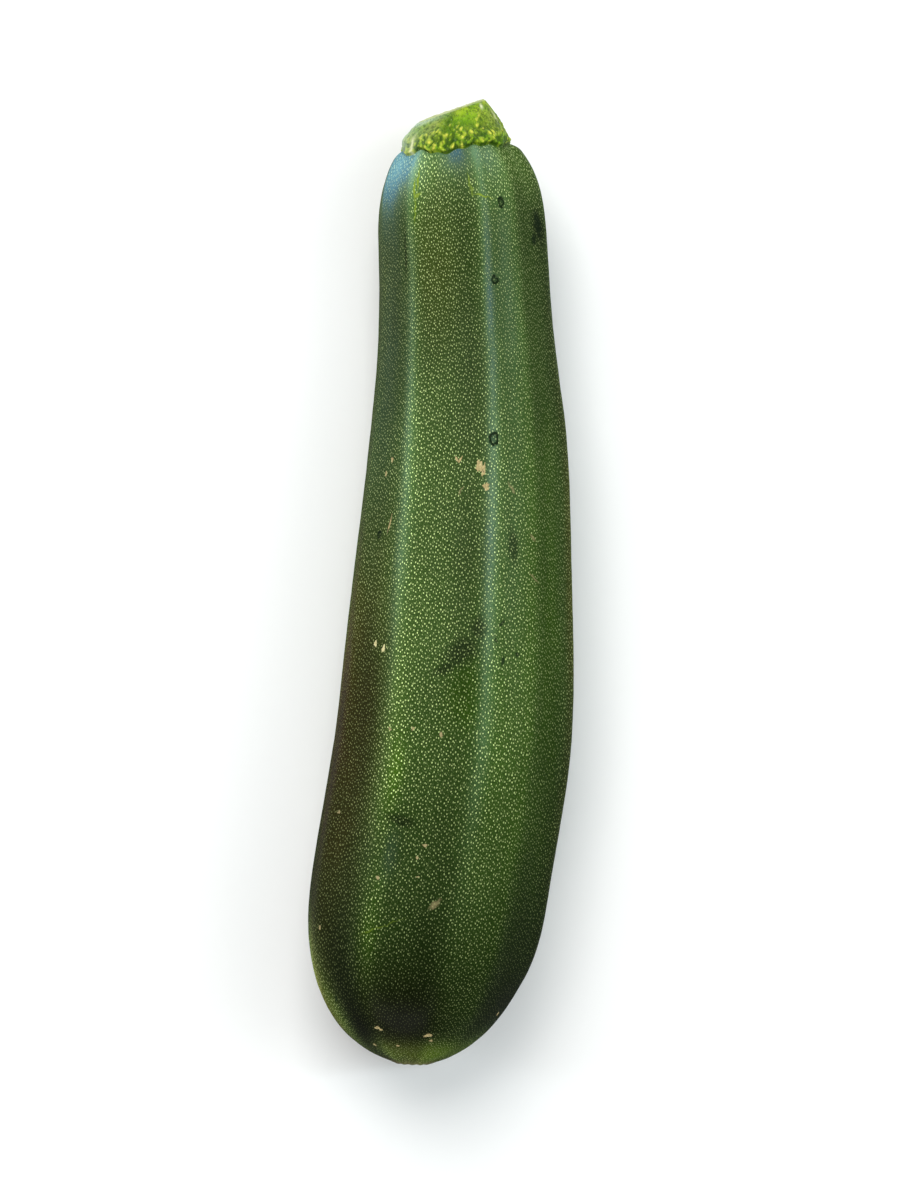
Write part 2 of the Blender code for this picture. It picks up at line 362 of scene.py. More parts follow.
# Where painted bluish sheen lies on the skin: painted highlights along the ribs and painted sky
# reflections on the shoulder and the left flank, with the skin's own faint waxy coat on the far ribs.
SHEEN_PATCHES = (
    (0.2432, -62.0, 0.0098, 25.0, 2.90),
    (0.2450, -2.0, 0.0060, 13.0, 1.60),
    (0.2430, 24.0, 0.0060, 10.0, 0.60),
    (0.2300, -62.0, 0.0120, 14.0, 0.60),
    (0.1900, -60.0, 0.0420, 17.0, 0.75),
    (0.1900, -37.0, 0.0420, 4.5, 0.60),
    (0.1350, -34.0, 0.0320, 5.0, 0.55),
    (0.2050, 15.5, 0.0350, 3.4, 1.00),
    (0.1400, 13.0, 0.0400, 3.4, 0.95),
    (0.0850, 14.0, 0.0250, 5.0, 0.35),
    (0.2050, 28.0, 0.0380, 10.0, 0.55),
    (0.1350, 24.0, 0.0300, 8.0, 0.28),
    (0.2000, 78.0, 0.0400, 6.0, 0.40),
    (0.0560, -22.0, 0.0060, 3.5, 0.60),
    (0.1500, -102.0, 0.0600, 5.0, 0.50),
    (0.1500, 122.0, 0.0600, 4.0, 0.30),
    (0.1500, 164.0, 0.0600, 4.0, 0.40),
    (0.1500, -163.0, 0.0600, 4.0, 0.40),
)
# Where it is brownish: a painted brown reflection on the left flank, and the skin's own brown
# elsewhere.
BROWN_AND_REFLECTION_PATCHES = (
    (0.0780, -58.0, 0.0480, 18.0, 1.00),
    (0.0850, -78.0, 0.0420, 11.0, 1.70),
    (0.0150, -78.0, 0.0120, 16.0, 0.55),
    (0.0035, 20.0, 0.0050, 60.0, 0.30),
    (0.2100, -62.0, 0.0280, 14.0, 0.40),
    (0.0900, -85.0, 0.0300, 16.0, 0.80),
    (0.0120, -12.0, 0.0120, 25.0, 0.45),
    (0.1350, 76.0, 0.0700, 5.0, 0.60),
    (0.2120, -20.0, 0.0200, 16.0, 0.30),
    (0.0600, 150.0, 0.0300, 30.0, 0.40),
)
# Where it is a fresher green.
LEAFY_PATCHES = (
    (0.1100, 54.0, 0.0700, 12.0, 0.90),
    (0.0950, 16.0, 0.0300, 9.0, 0.60),
    (0.0450, 62.0, 0.0400, 25.0, 1.00),
    (0.0990, 3.5, 0.0080, 8.0, 1.30),
    (0.0760, -26.0, 0.0100, 4.0, 0.70),
    (0.0340, -26.5, 0.0090, 4.5, 0.60),
    (0.2330, -33.0, 0.0100, 4.0, 0.80),
    (0.0150, -74.0, 0.0120, 18.0, 0.90),
    (0.0040, 20.0, 0.0060, 60.0, 1.00),
    (0.1200, -140.0, 0.0500, 20.0, 0.50),
)
# Where its flecks are faint.
FAINT_PATCHES = (
    (0.1500, 48.0, 0.1100, 28.0, 0.38),
    (0.2050, 20.0, 0.0320, 12.0, 0.25),
    (0.2450, 0.0, 0.0060, 16.0, 0.60),
    (0.2400, -60.0, 0.0120, 20.0, 0.50),
    (0.0030, 20.0, 0.0040, 60.0, 0.70),
    (0.0130, -76.0, 0.0100, 14.0, 0.60),
)

# Broad dents in the skin: station and angle, then half width, half length and depth.
DENTS = (
    (0.2150, -47.0, 0.0044, 0.0120, 0.0007),
    (0.1380, 29.0, 0.0050, 0.0090, 0.0003),
    (0.1000, -46.0, 0.0060, 0.0120, 0.0003),
    (0.0620, -20.0, 0.0080, 0.0100, 0.0003),
    (0.1900, 70.0, 0.0070, 0.0150, 0.0005),
    (0.1300, 140.0, 0.0070, 0.0150, 0.0004),
    (0.0900, -110.0, 0.0080, 0.0140, 0.0005),
    (0.2100, 175.0, 0.0060, 0.0120, 0.0004),
)

# Marks on the skin: station and angle, then half width, half length and turn of each.
BROWN_DIMPLES = (
    (0.2298, 28.1, 0.0008, 0.0013, 10),
    (0.2087, 19.9, 0.0009, 0.0011, -15),
    (0.1651, 14.3, 0.0011, 0.0018, -14),
    (0.1396, -53.6, 0.0007, 0.0010, 0),
)
WET_PATCHES = (
    (0.2236, 67.0, 0.0030, 0.0052, 22),
    (0.1092, 0.5, 0.0054, 0.0034, 33),
    (0.1048, -7.0, 0.0034, 0.0014, 24),
    (0.1155, 8.5, 0.0022, 0.0030, 0),
    (0.1375, 26.0, 0.0016, 0.0046, 8),
    (0.0650, -20.0, 0.0042, 0.0015, -6),
    (0.2180, -43.0, 0.0005, 0.0080, -4),
)
PALE_DOTS = (
    (0.0598, -6.0, 0.0006, 0.0005, 0),
    (0.0562, -8.8, 0.0004, 0.0004, 0),
    (0.0512, -6.7, 0.0004, 0.0004, 0),
    (0.0495, -25.7, 0.0006, 0.0005, 0),
    (0.0888, -20.3, 0.0005, 0.0006, 0),
    (0.0878, -6.2, 0.0005, 0.0006, 0),
    (0.0882, -31.3, 0.0004, 0.0005, 0),
    (0.0636, -59.2, 0.0005, 0.0005, 0),
    (0.0333, -62.0, 0.0006, 0.0005, 0),
)
DARK_NICKS = (
    (0.2246, 66.5, 0.0017, 0.0038, 12),
    (0.2202, 60.0, 0.0014, 0.0015, 20),
    (0.0175, -55.5, 0.0004, 0.0015, -30),
    (0.1173, 20.3, 0.0005, 0.0012, -35),
    (0.1128, 17.3, 0.0004, 0.0012, 20),
    (0.1074, 21.4, 0.0005, 0.0012, -5),
    (0.1094, 29.0, 0.0006, 0.0007, 0),
)
PALE_SCRATCHES = (
    (0.0451, 3.5, 0.0006, 0.0017, -45),
    (0.1513, -3.4, 0.0002, 0.0012, -25),
    (0.1402, 38.0, 0.0003, 0.0011, 60),
    (0.1298, 38.7, 0.0003, 0.0018, 55),
    (0.1525, 24.8, 0.0003, 0.0016, 42),
)
LIME_TICKS = (
    (0.0372, -20.5, 0.0002, 0.0060, -62),
    (0.2318, 15.5, 0.0002, 0.0034, 80),
    (0.2345, -34.0, 0.0002, 0.0026, 4),
    (0.2332, -31.5, 0.0009, 0.0006, 20),
    (0.2290, -33.0, 0.0002, 0.0030, -4),
    (0.2375, -32.0, 0.0002, 0.0024, 0),
    (0.2335, 8.0, 0.0003, 0.0014, 0),
    (0.2360, 6.5, 0.0002, 0.0020, 6),
)
# Raised flakes of tan cork, and cream chips where the skin is torn.
CORK_FLAKES = (
    (0.1597, -6.6, 0.0003, 0.0009, 30),
    (0.1594, -4.6, 0.0003, 0.0012, -32),
    (0.1577, 6.6, 0.0013, 0.0016, 10),
    (0.1567, 8.7, 0.0005, 0.0019, -8),
    (0.1525, 10.1, 0.0009, 0.0011, 0),
    (0.1599, -48.3, 0.0005, 0.0009, 10),
    (0.1562, -52.9, 0.0004, 0.0008, 0),
    (0.1424, -45.0, 0.0003, 0.0026, -14),
    (0.0111, -26.4, 0.0008, 0.0006, 30),
    (0.0106, -23.9, 0.0005, 0.0004, 0),
    (0.0062, -13.7, 0.0005, 0.0004, 0),
    (0.0095, 11.6, 0.0012, 0.0007, 10),
    (0.0080, 15.0, 0.0005, 0.0005, 0),
    (0.0059, -39.1, 0.0004, 0.0006, 0),
    (0.0149, 68.6, 0.0004, 0.0006, 0),
)
CREAM_CHIPS = (
    (0.1106, -47.9, 0.0007, 0.0009, 25),
    (0.1093, -41.1, 0.0007, 0.0010, -20),
)
FLAKE_AROUND = 28
FLAKE_ROWS = 5
FLAKE_LIFT = 0.00010
FLAKE_ROOT = 0.00012
FLAKE_RAGGEDNESS = 0.28
FLAKE_LOBES = 3
FLAKE_LOBE_SIZE = 0.15
FLAKE_ROUGHNESS = 0.3
RAY_REACH = 0.004

# Flecks: how irregular their rows are, how far and how finely they wander, how turned they are, how
# strong the faintest is, where a fleck and the dark ring round it start and reach their full
# strength, how dark the ring is, and how much cream there is in a fleck's colour.
FLECK_SCATTER = 0.64
FLECK_WANDER = 0.3
FLECK_WANDER_SCALE = 0.4
FLECK_TURN = 0.5
FLECK_FAINTEST = 0.45
FLECK_EDGE = (1.05, 0.60)
RING_EDGE = (2.1, 1.2)
RING_DEPTH = 0.55
FLECK_CREAM_SHARE = 0.75
# Flecks: how far from the tip those drawn for the tip give way to those drawn for the body.
TIP_MAP_EDGE = (0.012, 0.017)
# Skin: strength at which a brown or sheen patch starts to take its second hue, and at which it has
# it in full.
SECOND_HUE_STRENGTHS = (1.0, 1.8)
# Skin: roughness under its thin shiny coat.
SKIN_ROUGHNESS = 0.7
# Dust of smaller flecks: its spacing as a share of theirs, stretch, sizes, faintest and strength.
DUST_SPACING = 0.55
DUST_STRETCH = 1.4
DUST_SIZES = (0.2, 0.45)
DUST_FAINTEST = 0.1
DUST_LEVEL = 0.16
# Share of the flecks lost on bare, sheened and wet skin, how much lighter the painted sheen makes the
# skin between them, and how much darker water makes it.
BARE_LOSS = 0.9
SHEEN_LOSS = 0.45
WET_LOSS = 0.40
SHEEN_LIFT = 0.22
WET_DEPTH = 0.60
# How strongly each kind of mark shows.
TICK_LEVEL = 0.42
SCRATCH_LEVEL = 0.5
NICK_LEVEL = 0.85
# The dark pits and grooves of the dimples are painted shade.
PIT_SHADE_LEVEL = 0.45
DARK_LEVEL = 0.95
SCAR_LEVEL = 0.85
# How far the edges of the marks stray, and how finely.
MARK_RAGGEDNESS = (0.0016, 0.0020, 0.0)
RAGGED_SCALE = 900.0

# Stem: how strongly the painted shade in the gaps between its warts, its painted shade patches, its pale
# hairs, its dried rim and the freckles of its cut show.
GAP_SHADE_LEVEL = 0.80
SHADE_LEVEL = 0.8
HAIR_LEVEL = 0.30
DRIED_LEVEL = 0.5
FRECKLE_LEVEL = 0.5
# Height of the fine grain of the stem and of the flakes.
STEM_GRAIN = 0.00035
FLAKE_GRAIN = 0.0001
# Start of every row of random draws.
SEED = 7

# Stage: the camera stands over the fruit and looks straight down.
CAMERA_PLACE = (0.00256, -0.00581, 0.80)
CAMERA_LENS = 85.56
CAMERA_SENSOR = 36.0
# Each light: name, place, what it points at, its two sizes, watts and colour.
LIGHTS = (
    ("crest_strip", (0.40, 0.06, 0.86), (0, 0.06, 0.05), (0.06, 1.00), 3.0, (0.80, 0.94, 1.00)),
    ("flank_strip", (-1.15, 0.15, 0.52), (0, 0.0, 0.04), (0.22, 1.30), 5.0, (0.88, 0.96, 1.00)),
    ("stem_box", (-0.25, 0.95, 1.55), (0, 0.02, 0.03), (1.10, 1.10), 27.0, (1.00, 0.99, 0.97)),
    ("right_box", (1.20, 0.20, 1.15), (0, 0.0, 0.03), (1.00, 1.20), 6.0, (1.00, 0.99, 0.96)),
    ("tip_box", (-0.30, -1.15, 0.42), (0, -0.11, 0.03), (0.80, 0.50), 6.0, (1.00, 0.99, 0.93)),
)
# Ground: its height at each radius.
GROUND_PROFILE = (
    (0.00, 0.00),
    (0.60, 0.00),
    (1.30, 0.00),
    (2.00, 0.00),
    (2.50, 0.05),
    (2.90, 0.25),
    (3.15, 0.70),
    (3.20, 1.60),
)
GROUND_AROUND = 96
GROUND_DROP = 0.0001


# ---------------------------------------------------------------- curves and outlines


def smooth_curve(points, at):
    """Values, at one or many positions, of the smooth curve through (position, value) points."""
    positions, values = np.array(points).T
    slopes = np.gradient(values, positions)
    index = np.clip(np.searchsorted(positions, at) - 1, 0, len(positions) - 2)
    span = positions[index + 1] - positions[index]
    t = (at - positions[index]) / span
    start = (1 + 2 * t) * (1 - t) ** 2 * values[index] + t * (1 - t) ** 2 * span * slopes[index]
    end = t * t * (3 - 2 * t) * values[index + 1] - t * t * (1 - t) * span * slopes[index + 1]
    return start + end


def fade(value, length):
    """Rise smoothly from 0 at zero to 1 at the given length."""
    t = np.clip(value / length, 0.0, 1.0)
    return t * t * (3 - 2 * t)


def bell(distance, width):
    """Smooth bump: 1 at no distance, fading over the width."""
    return np.exp(-((distance / width) ** 2))


def turn_between(first, second):
    """Signed turn in degrees from the second angle to the first, from -180 to 180."""
    return (first - second + 180) % 360 - 180


def polygon_radius(angles, corners):
    """Radius, at each angle, of the straight-sided outline through (angle, radius) corners."""
    corner_angles, corner_radii = np.array(sorted(corners)).T
    wrapped = (angles - corner_angles[0]) % 360 + corner_angles[0]
    index = np.searchsorted(corner_angles, wrapped, side="right") - 1
    following = (index + 1) % len(corner_angles)
    span = np.radians((corner_angles[following] - corner_angles[index]) % 360)
    past = np.radians(wrapped - corner_angles[index])
    near, far = corner_radii[index], corner_radii[following]
    return near * far * np.sin(span) / (near * np.sin(past) + far * np.sin(span - past))


def rounded_polygon(angles, corners, rounding):
    """The same outline with its corners rounded by averaging over a small turn."""
    turns = np.linspace(-rounding, rounding, ROUNDING_SAMPLES)
    weights = np.cos(np.radians(90 * turns / rounding)) + EDGE_WEIGHT
    rows = [weight * polygon_radius(angles + turn, corners) for turn, weight in zip(turns, weights)]
    return np.sum(rows, axis=0) / weights.sum()


def angles_around(count):
    """Evenly spaced angles once round, starting underneath."""
    return np.arange(count) * 360.0 / count - 180.0


# ---------------------------------------------------------------- the fruit's form


def rib_angles(station):
    """Angle of every rib at a station."""
    along = station / SEAT_STATION
    return [blossom + (stem - blossom) * along for stem, blossom, _ in RIBS]


def fruit_section(station, angles):
    """Ribbed outline across the fruit, scaled so that half its width is 1."""
    corners = [(angle, rib[2]) for angle, rib in zip(rib_angles(station), RIBS)]
    outline = rounded_polygon(angles, corners, RIB_ROUNDING)
    every = angles_around(SECTION_SAMPLES)
    across = rounded_polygon(every, corners, RIB_ROUNDING) * np.sin(np.radians(every))
    ribbed = outline * 2 / np.ptp(across)
    return 1 + (ribbed - 1) * fade(station, RIB_FADE_LENGTH)


def end_dome(distance, power):
    """How far an end has closed: 1 where it starts to round off, 0 at its tip."""
    return np.sqrt(np.maximum(1 - np.maximum(distance, 0.0) ** power, 0.0))


def half_width(station):
    """Half the fruit's width at one or many stations, with both ends rounded off."""
    blossom = end_dome(1 - station / BLOSSOM_DOME_LENGTH, BLOSSOM_DOME_POWER)
    crown = end_dome((station - CROWN_START) / CROWN_LENGTH, CROWN_POWER)
    rim = end_dome((station - CROWN_RIM_START) / CROWN_RIM_LENGTH, CROWN_RIM_POWER)
    return smooth_curve(BODY_HALF_WIDTHS, station) * blossom * crown * rim


def dome_station(radius):
    """Stations near the blossom tip where the fruit has these half widths."""
    closing = 1 - (radius / smooth_curve(BODY_HALF_WIDTHS, 0.0)) ** 2
    return BLOSSOM_DOME_LENGTH * (1 - closing ** (1 / BLOSSOM_DOME_POWER))


def scar_sink(ratio):
    """Depth of the blossom scar at a fraction of its radius: a cup inside a low rim."""
    cup = SCAR_DEPTH * bell(ratio, SCAR_CUP_WIDTH)
    return cup - SCAR_RIM * bell(ratio - 1, SCAR_RIM_WIDTH)


def spine(station):
    """Middle of the fruit at a station."""
    rise = UNDERSIDE_RISE * (station - REST_STATION) ** 2
    height = UNDERSIDE * smooth_curve(BODY_HALF_WIDTHS, station) + rise - FLAT_SPOT_DEPTH
    return Vector((smooth_curve(BODY_BOW, station), station, height))


def frame_at(station):
    """Axes across and along the fruit at a station: columns side, along and up, and its middle."""
    along = (spine(station + SLOPE_STEP) - spine(station - SLOPE_STEP)).normalized()
    side = along.cross(Vector((0, 0, 1))).normalized()
    turn = Matrix((side, along, side.cross(along))).transposed().to_4x4()
    return Matrix.Translation(spine(station)) @ turn


def stations_along(start, end, count):
    """Stations spaced evenly along the skin, which is steep where an end closes."""
    stations = np.linspace(start, end, PROFILE_SAMPLES)
    run = np.concatenate([[0], np.cumsum(np.hypot(np.diff(stations), np.diff(half_width(stations))))])
    return np.interp(np.linspace(0, run[-1], count), run, stations)


def fruit_rows():
    """Station, half width and sink of every row of the skin, from the blossom scar to the seat."""
    ratios = np.linspace(SCAR_MARGIN / SCAR_ROWS, SCAR_MARGIN, SCAR_ROWS)
    scar = ratios * SCAR_RADIUS
    body = stations_along(dome_station(scar[-1]), CROWN_RIM_START, BODY_ROWS)[1:]
    rim = stations_along(CROWN_RIM_START, SEAT_STATION, CROWN_RIM_ROWS)[1:]
    rest = np.concatenate([body, rim])
    stations = np.concatenate([dome_station(scar), rest])
    widths = np.concatenate([scar, half_width(rest)])
    sinks = np.concatenate([scar_sink(ratios), np.zeros(len(rest))])
    return stations, widths, sinks


def run_along(stations, widths):
    """Distance along the skin from the tip to each row."""
    return np.cumsum(np.hypot(np.diff(stations, prepend=0.0), np.diff(widths, prepend=0.0)))


def map_runs(stations, widths):
    """Distance along the skin's map: shortened beside the stem, where it draws the flecks out."""
    runs = run_along(stations, widths)
    steps = np.diff(runs, prepend=0.0)
    return np.cumsum(steps / (1 + CROWN_STRETCH * bell(runs[-1] - runs, CROWN_STRETCH_LENGTH)))


def through_frame(matrix, across, along, up):
    """Points of the row frame from places beside a set of axes."""
    axes = np.array(matrix)
    places = np.stack([across, np.broadcast_to(along, across.shape), up], axis=-1)
    return places @ axes[:3, :3].T + axes[:3, 3]


def outward(grid):
    """Unit normals of a grid of points whose rows close round."""
    across = np.roll(grid, -1, axis=1) - np.roll(grid, 1, axis=1)
    normals = np.cross(across, np.gradient(grid, axis=0))
    return normals / np.linalg.norm(normals, axis=2, keepdims=True)


def lumps(grid, size, height, stretch=1.0):
    """Soft lumps of this size and height over a grid, drawn out along Y."""
    places = grid.reshape(-1, 3) / (size * np.array([1.0, stretch, 1.0]))
    return height * np.array([noise.noise(Vector(place)) for place in places]).reshape(grid.shape[:2])


def skin_relief(grid, stations, widths, runs, angles, look):
    """How far the skin stands out from the plain form: ripples, puckers and dimples."""
    relief = np.zeros(grid.shape[:2])
    for step, (size, share, stretch) in enumerate(RIPPLES):
        relief += lumps(grid + step, size, share * look.ripple_height, stretch)
    turns = np.radians(angles)[None, :]
    wander = lumps(grid + len(RIPPLES), *PUCKER_WANDER)
    near_stem = bell(runs[-1] - runs, STEM_PUCKER_REACH)[:, None]
    relief += look.pucker_depth * near_stem * (np.cos(STEM_PUCKERS * turns + wander) - STEM_PUCKER_SINK)
    near_scar = bell(widths - 1.7 * SCAR_RADIUS, 0.8 * SCAR_RADIUS) * (stations < SCAR_PUCKER_END)
    waves = np.cos(SCAR_PUCKERS * turns + wander)
    relief += SCAR_PUCKER_SHARE * look.pucker_depth * near_scar[:, None] * waves
    dimples = [(*mark[:4], look.dimple_depth) for mark in BROWN_DIMPLES]
    for station, angle, half_across, half_along, depth in (*dimples, *DENTS):
        across = np.radians(turn_between(angles, angle))[None, :] * half_width(station) / half_across
        along = ((runs - np.interp(station, stations, runs)) / half_along)[:, None]
        relief -= depth * bell(np.hypot(across, along), 1.0)
    return relief


def rib_share(stations, angles):
    """How near each place on the skin is to the crest of a rib: 1 on a strong crest, 0 away."""
    share = np.zeros((len(stations), len(angles)))
    for index, (_, _, out) in enumerate(RIBS):
        crest = np.array([rib_angles(station)[index] for station in stations])[:, None]
        turn = turn_between(angles[None, :], crest)
        strength = 1.0 if out == 1.0 else WEAK_CREST
        share = np.maximum(share, strength * bell(turn, np.where(turn < 0, *CREST_WIDTHS)))
    start, length = CREST_FADE
    return share * (CREST_AT_TIP + (1 - CREST_AT_TIP) * fade(stations - start, length))[:, None]


def patch_sum(stations, angles, patches):
    """Sum, at each place on the skin, of soft patches."""
    total = np.zeros((len(stations), len(angles)))
    for station, angle, half_along, half_turn, strength in patches:
        along = ((stations - station) / half_along)[:, None]
        aside = (turn_between(angles, angle) / half_turn)[None, :]
        total += strength * bell(np.hypot(along, aside), 1.0)
    return total


def skin_shading(stations, angles, crest):
    """How light each place on the skin is painted: painted light and shade, and painted crest
    highlights, as a share of the middle's lightness.
    """
    start, length = HALVES_MEET
    upper = fade(stations - start, length)[:, None]
    # Painted light and shade, facet by facet, on each half of the fruit.
    girth = upper * smooth_curve(STEM_HALF_SHADING, angles)
    girth = girth + (1 - upper) * smooth_curve(BLOSSOM_HALF_SHADING, angles)
    # Painted shade along the length, and painted highlights on the rib crests.
    shading = smooth_curve(LENGTH_SHADING, stations)[:, None] * girth * (1 + CREST_HIGHLIGHT * crest)
    return shading * (1 + patch_sum(stations, angles, LIGHT_AND_SHADE_PATCHES))


# ---------------------------------------------------------------- meshes


def closed_mesh(name, rings, first, last, maps, fields):
    """Smooth closed mesh of rings of points joined in order, with a point closing each end.

    Each map holds corner coordinates for every ring and both end points, with one column more
    than there are points. Each field holds one number for every point of the rings.
    """
    rows, columns = rings.shape[:2]
    own, following = np.arange(columns), (np.arange(columns) + 1) % columns
    row = np.arange(rows - 1)[:, None] * columns
    square = [row + own, row + following, row + columns + following, row + columns + own]
    quads = np.stack(square, axis=-1)
    start, end, edge = rows * columns, rows * columns + 1, (rows - 1) * columns
    fan = [(start, after, before) for before, after in zip(own.tolist(), following.tolist())]
    cap = [(edge + before, edge + after, end) for before, after in zip(own.tolist(), following.tolist())]
    points = np.vstack([rings.reshape(-1, 3), first, last])
    mesh = bpy.data.meshes.new(name)
    mesh.from_pydata(points.tolist(), [], quads.reshape(-1, 4).tolist() + fan + cap)
    for label, corners in maps.items():
        inner = corners[1:-1]
        around = [inner[:-1, :-1], inner[:-1, 1:], inner[1:, 1:], inner[1:, :-1]]
        at_start = np.stack([corners[0, :-1], corners[1, 1:], corners[1, :-1]], axis=1)
        at_end = np.stack([corners[-2, :-1], corners[-2, 1:], corners[-1, :-1]], axis=1)
        parts = [np.stack(around, axis=2), at_start, at_end]
        layer = mesh.uv_layers.new(name=label)
        layer.data.foreach_set("uv", np.concatenate([part.ravel() for part in parts]))
    for label, values in fields.items():
        attribute = mesh.attributes.new(label, "FLOAT", "POINT")
        ends = [values[0].mean(), values[-1].mean()]
        attribute.data.foreach_set("value", np.append(values.ravel(), ends))
    mesh.validate()
    mesh.shade_smooth()
    return mesh


def add_piece(name, mesh, material, replaced=None):
    """Show a mesh as a piece of the zucchini, in its own material."""
    mesh.materials.append(material)
    piece = bpy.data.objects.new(name, mesh)
    bpy.context.scene.collection.objects.link(piece)
    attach(piece, "root")
    if replaced:
        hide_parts(replaced)
    return piece


def box_slide(points, node):
    """Slide along the ground that brings the middle of these points' box over a node's box."""
    low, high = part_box(node)
    middle = (points.min(axis=0) + points.max(axis=0)) / 2
    return np.array([(low.x + high.x) / 2 - middle[0], (low.y + high.y) / 2 - middle[1], 0.0])


def fruit_form(look):
    """The fruit's rings of points, its two end points, its maps and its fields."""
    stations, widths, sinks = fruit_rows()
    angles = angles_around(FRUIT_AROUND)
    turns = np.radians(angles)
    rings, tips = [], []
    for station, width, sink in zip(stations, widths, sinks):
        reach = width * fruit_section(station, angles)
        across, up = reach * np.sin(turns), reach * np.cos(turns)
        rings.append(through_frame(frame_at(station), across, sink, up))
        tips.append(np.stack([across, up], axis=-1))
    rings = np.array(rings)
    slide = box_slide(rings.reshape(-1, 3), "fruit")
    runs = run_along(stations, widths)
    relief = skin_relief(rings, stations, widths, runs, angles, look)
    rings = rings + outward(rings) * relief[:, :, None] + slide
    rings[:, :, 2] = np.maximum(rings[:, :, 2], 0.0)
    first = np.array(frame_at(0) @ Vector((0, scar_sink(0), 0))) + slide
    last = rings[-1].mean(axis=0)
    corner_turns = np.append(turns, math.pi) * SKIN_MAP_RADIUS
    mapped = map_runs(stations, widths)
    corner_runs = np.concatenate([[0], mapped, [mapped[-1] + widths[-1]]])
    around = np.stack(np.broadcast_arrays(corner_turns[None, :], corner_runs[:, None]), axis=-1)
    tip = np.array(tips)
    tip = np.concatenate([tip, tip[:, :1]], axis=1)
    tip = np.concatenate([tip[:1] * 0, tip, tip[-1:] * 0], axis=0)
    everywhere = np.ones((len(stations), len(angles)))
    crest = rib_share(stations, angles)
    fields = {
        "crest": crest,
        # Painted light and shade of the skin, with painted highlights on the crests.
        "shading": skin_shading(stations, angles, crest),
        # Painted sheen: highlights along the ribs and bluish sky reflections.
        "sheen": patch_sum(stations, angles, SHEEN_PATCHES),
        # Brown: painted brown reflection on the left flank, the skin's own brown elsewhere.
        "brown": patch_sum(stations, angles, BROWN_AND_REFLECTION_PATCHES),
        "leafy": patch_sum(stations, angles, LEAFY_PATCHES),
        "faint": patch_sum(stations, angles, FAINT_PATCHES),
        "scar": (bell(widths, 1.1 * SCAR_RADIUS) * (stations < SCAR_STAIN_END))[:, None] * everywhere,
        "nearness": bell(runs[-1] - runs, BARE_BESIDE_STEM)[:, None] * everywhere,
        "belly": fade(np.abs(angles) - BELLY_START, BELLY_LENGTH)[None, :] * everywhere,
    }
    return rings, first, last, {"around": around, "tip": tip}, fields, slide


# ---------------------------------------------------------------- the stem's form


def stem_outline(angles):
    """Ridged and fluted outline across the stem, with its furthest ridge near 1."""
    outline = rounded_polygon(angles, STEM_RIDGES, STEM_ROUNDING)
    turns = [np.abs(turn_between(angles, ridge)) for ridge, _ in STEM_RIDGES]
    nearest = np.minimum(np.min(turns, axis=0), STEM_FLUTE_HALF_ANGLE)
    return outline - STEM_FLUTE * np.sin(np.radians(90 * nearest / STEM_FLUTE_HALF_ANGLE)) ** 2


def stem_reach(height):
    """How far the stem's furthest ridge stands from its axis at a height over the seat."""
    narrowing = (np.maximum(height, 0.0) / STEM_HEIGHT) ** STEM_TAPER_POWER
    swell = FOOT_SWELL * bell(height - FOOT_SWELL_HEIGHT, FOOT_SWELL_HEIGHT)
    return STEM_FOOT_REACH - (STEM_FOOT_REACH - STEM_TOP_REACH) * narrowing + swell


def stem_lean(height):
    """How far the stem's axis has wandered toward +X at a height over the seat."""
    return STEM_LEAN * (np.maximum(height, 0.0) / STEM_HEIGHT) ** STEM_TAPER_POWER


def cut_height(across, up):
    """Height of the slanted cut over the seat at a place beside the stem's axis."""
    side_slope = math.tan(math.radians(CUT_TILT_SIDE))
    up_slope = math.tan(math.radians(CUT_TILT_UP))
    return STEM_HEIGHT + side_slope * across - up_slope * up


def crown_heights(seat, crown, reach, across, up):
    """Height of the fruit's skin over the seat, at this reach in every direction."""
    down = seat.to_3x3() @ Vector((0, -1, 0))
    inverse = seat.inverted()
    heights = []
    for side, lift in zip(reach * across, reach * up):
        hit = crown.ray_cast(seat @ Vector((side, STEM_HEIGHT, lift)), down)[0]
        heights.append((inverse @ hit).y)
    return np.array(heights)


def foot_spread(angles):
    """How much further than its round foot the stem spreads over the crown."""
    return sum(
        reach * bell(turn_between(angles, lobe), half_turn) for lobe, half_turn, reach in FOOT_LOBES
    )


def warts(draw, arc, height, count, radii, level, spread):
    """How tall each place on the stem's flank is, from 0 to 1, under warts that crowd its foot."""
    relief = np.zeros(height.shape)
    girth = 2 * math.pi * STEM_FOOT_REACH
    for _ in range(count):
        aside = (arc - draw.uniform(-girth / 2, girth / 2) + girth / 2) % girth - girth / 2
        radius = draw.uniform(*radii)
        lift = (height - level * draw.beta(*spread)) / draw.uniform(0.9, 1.4)
        dome = np.maximum(1 - (aside[None, :] ** 2 + lift**2) / radius**2, 0) ** 0.8
        relief = np.maximum(relief, draw.uniform(0.45, 1.0) * dome)
    return relief


def streaks(angles, spacing, seed):
    """Uneven streaks round the stem, from -1 to 1, about this many degrees apart."""
    scale = 180 / math.pi / spacing
    circle = np.radians(angles)
    across, up = np.cos(circle) * scale, np.sin(circle) * scale
    places = np.stack([across, up, np.full(len(angles), seed)], axis=1)
    return np.array([noise.noise(Vector(place)) for place in places])


def stem_underside(seat, crown, spread, across, up):
    """Rings under the stem's foot, lying on the fruit's skin, and the height of the foot's edge."""
    rings = []
    for share in np.linspace(0.5, 1.0, UNDERSIDE_ROWS):
        reach = share * (stem_reach(0) - FOOT_EDGE_RADIUS + spread)
        level = crown_heights(seat, crown, reach, across, up)
        rings.append(np.stack([reach * across, level, reach * up], axis=-1))
    return np.array(rings), level + FOOT_EDGE_RADIUS / 2


def stem_top(across, up):
    """Height of the flank's top edge over the seat, where the cut meets it."""
    top = np.full(len(across), STEM_HEIGHT)
    for _ in range(CUT_PASSES):
        reach = stem_reach(top)
        top = cut_height(reach * across + stem_lean(top), reach * up)
    return top


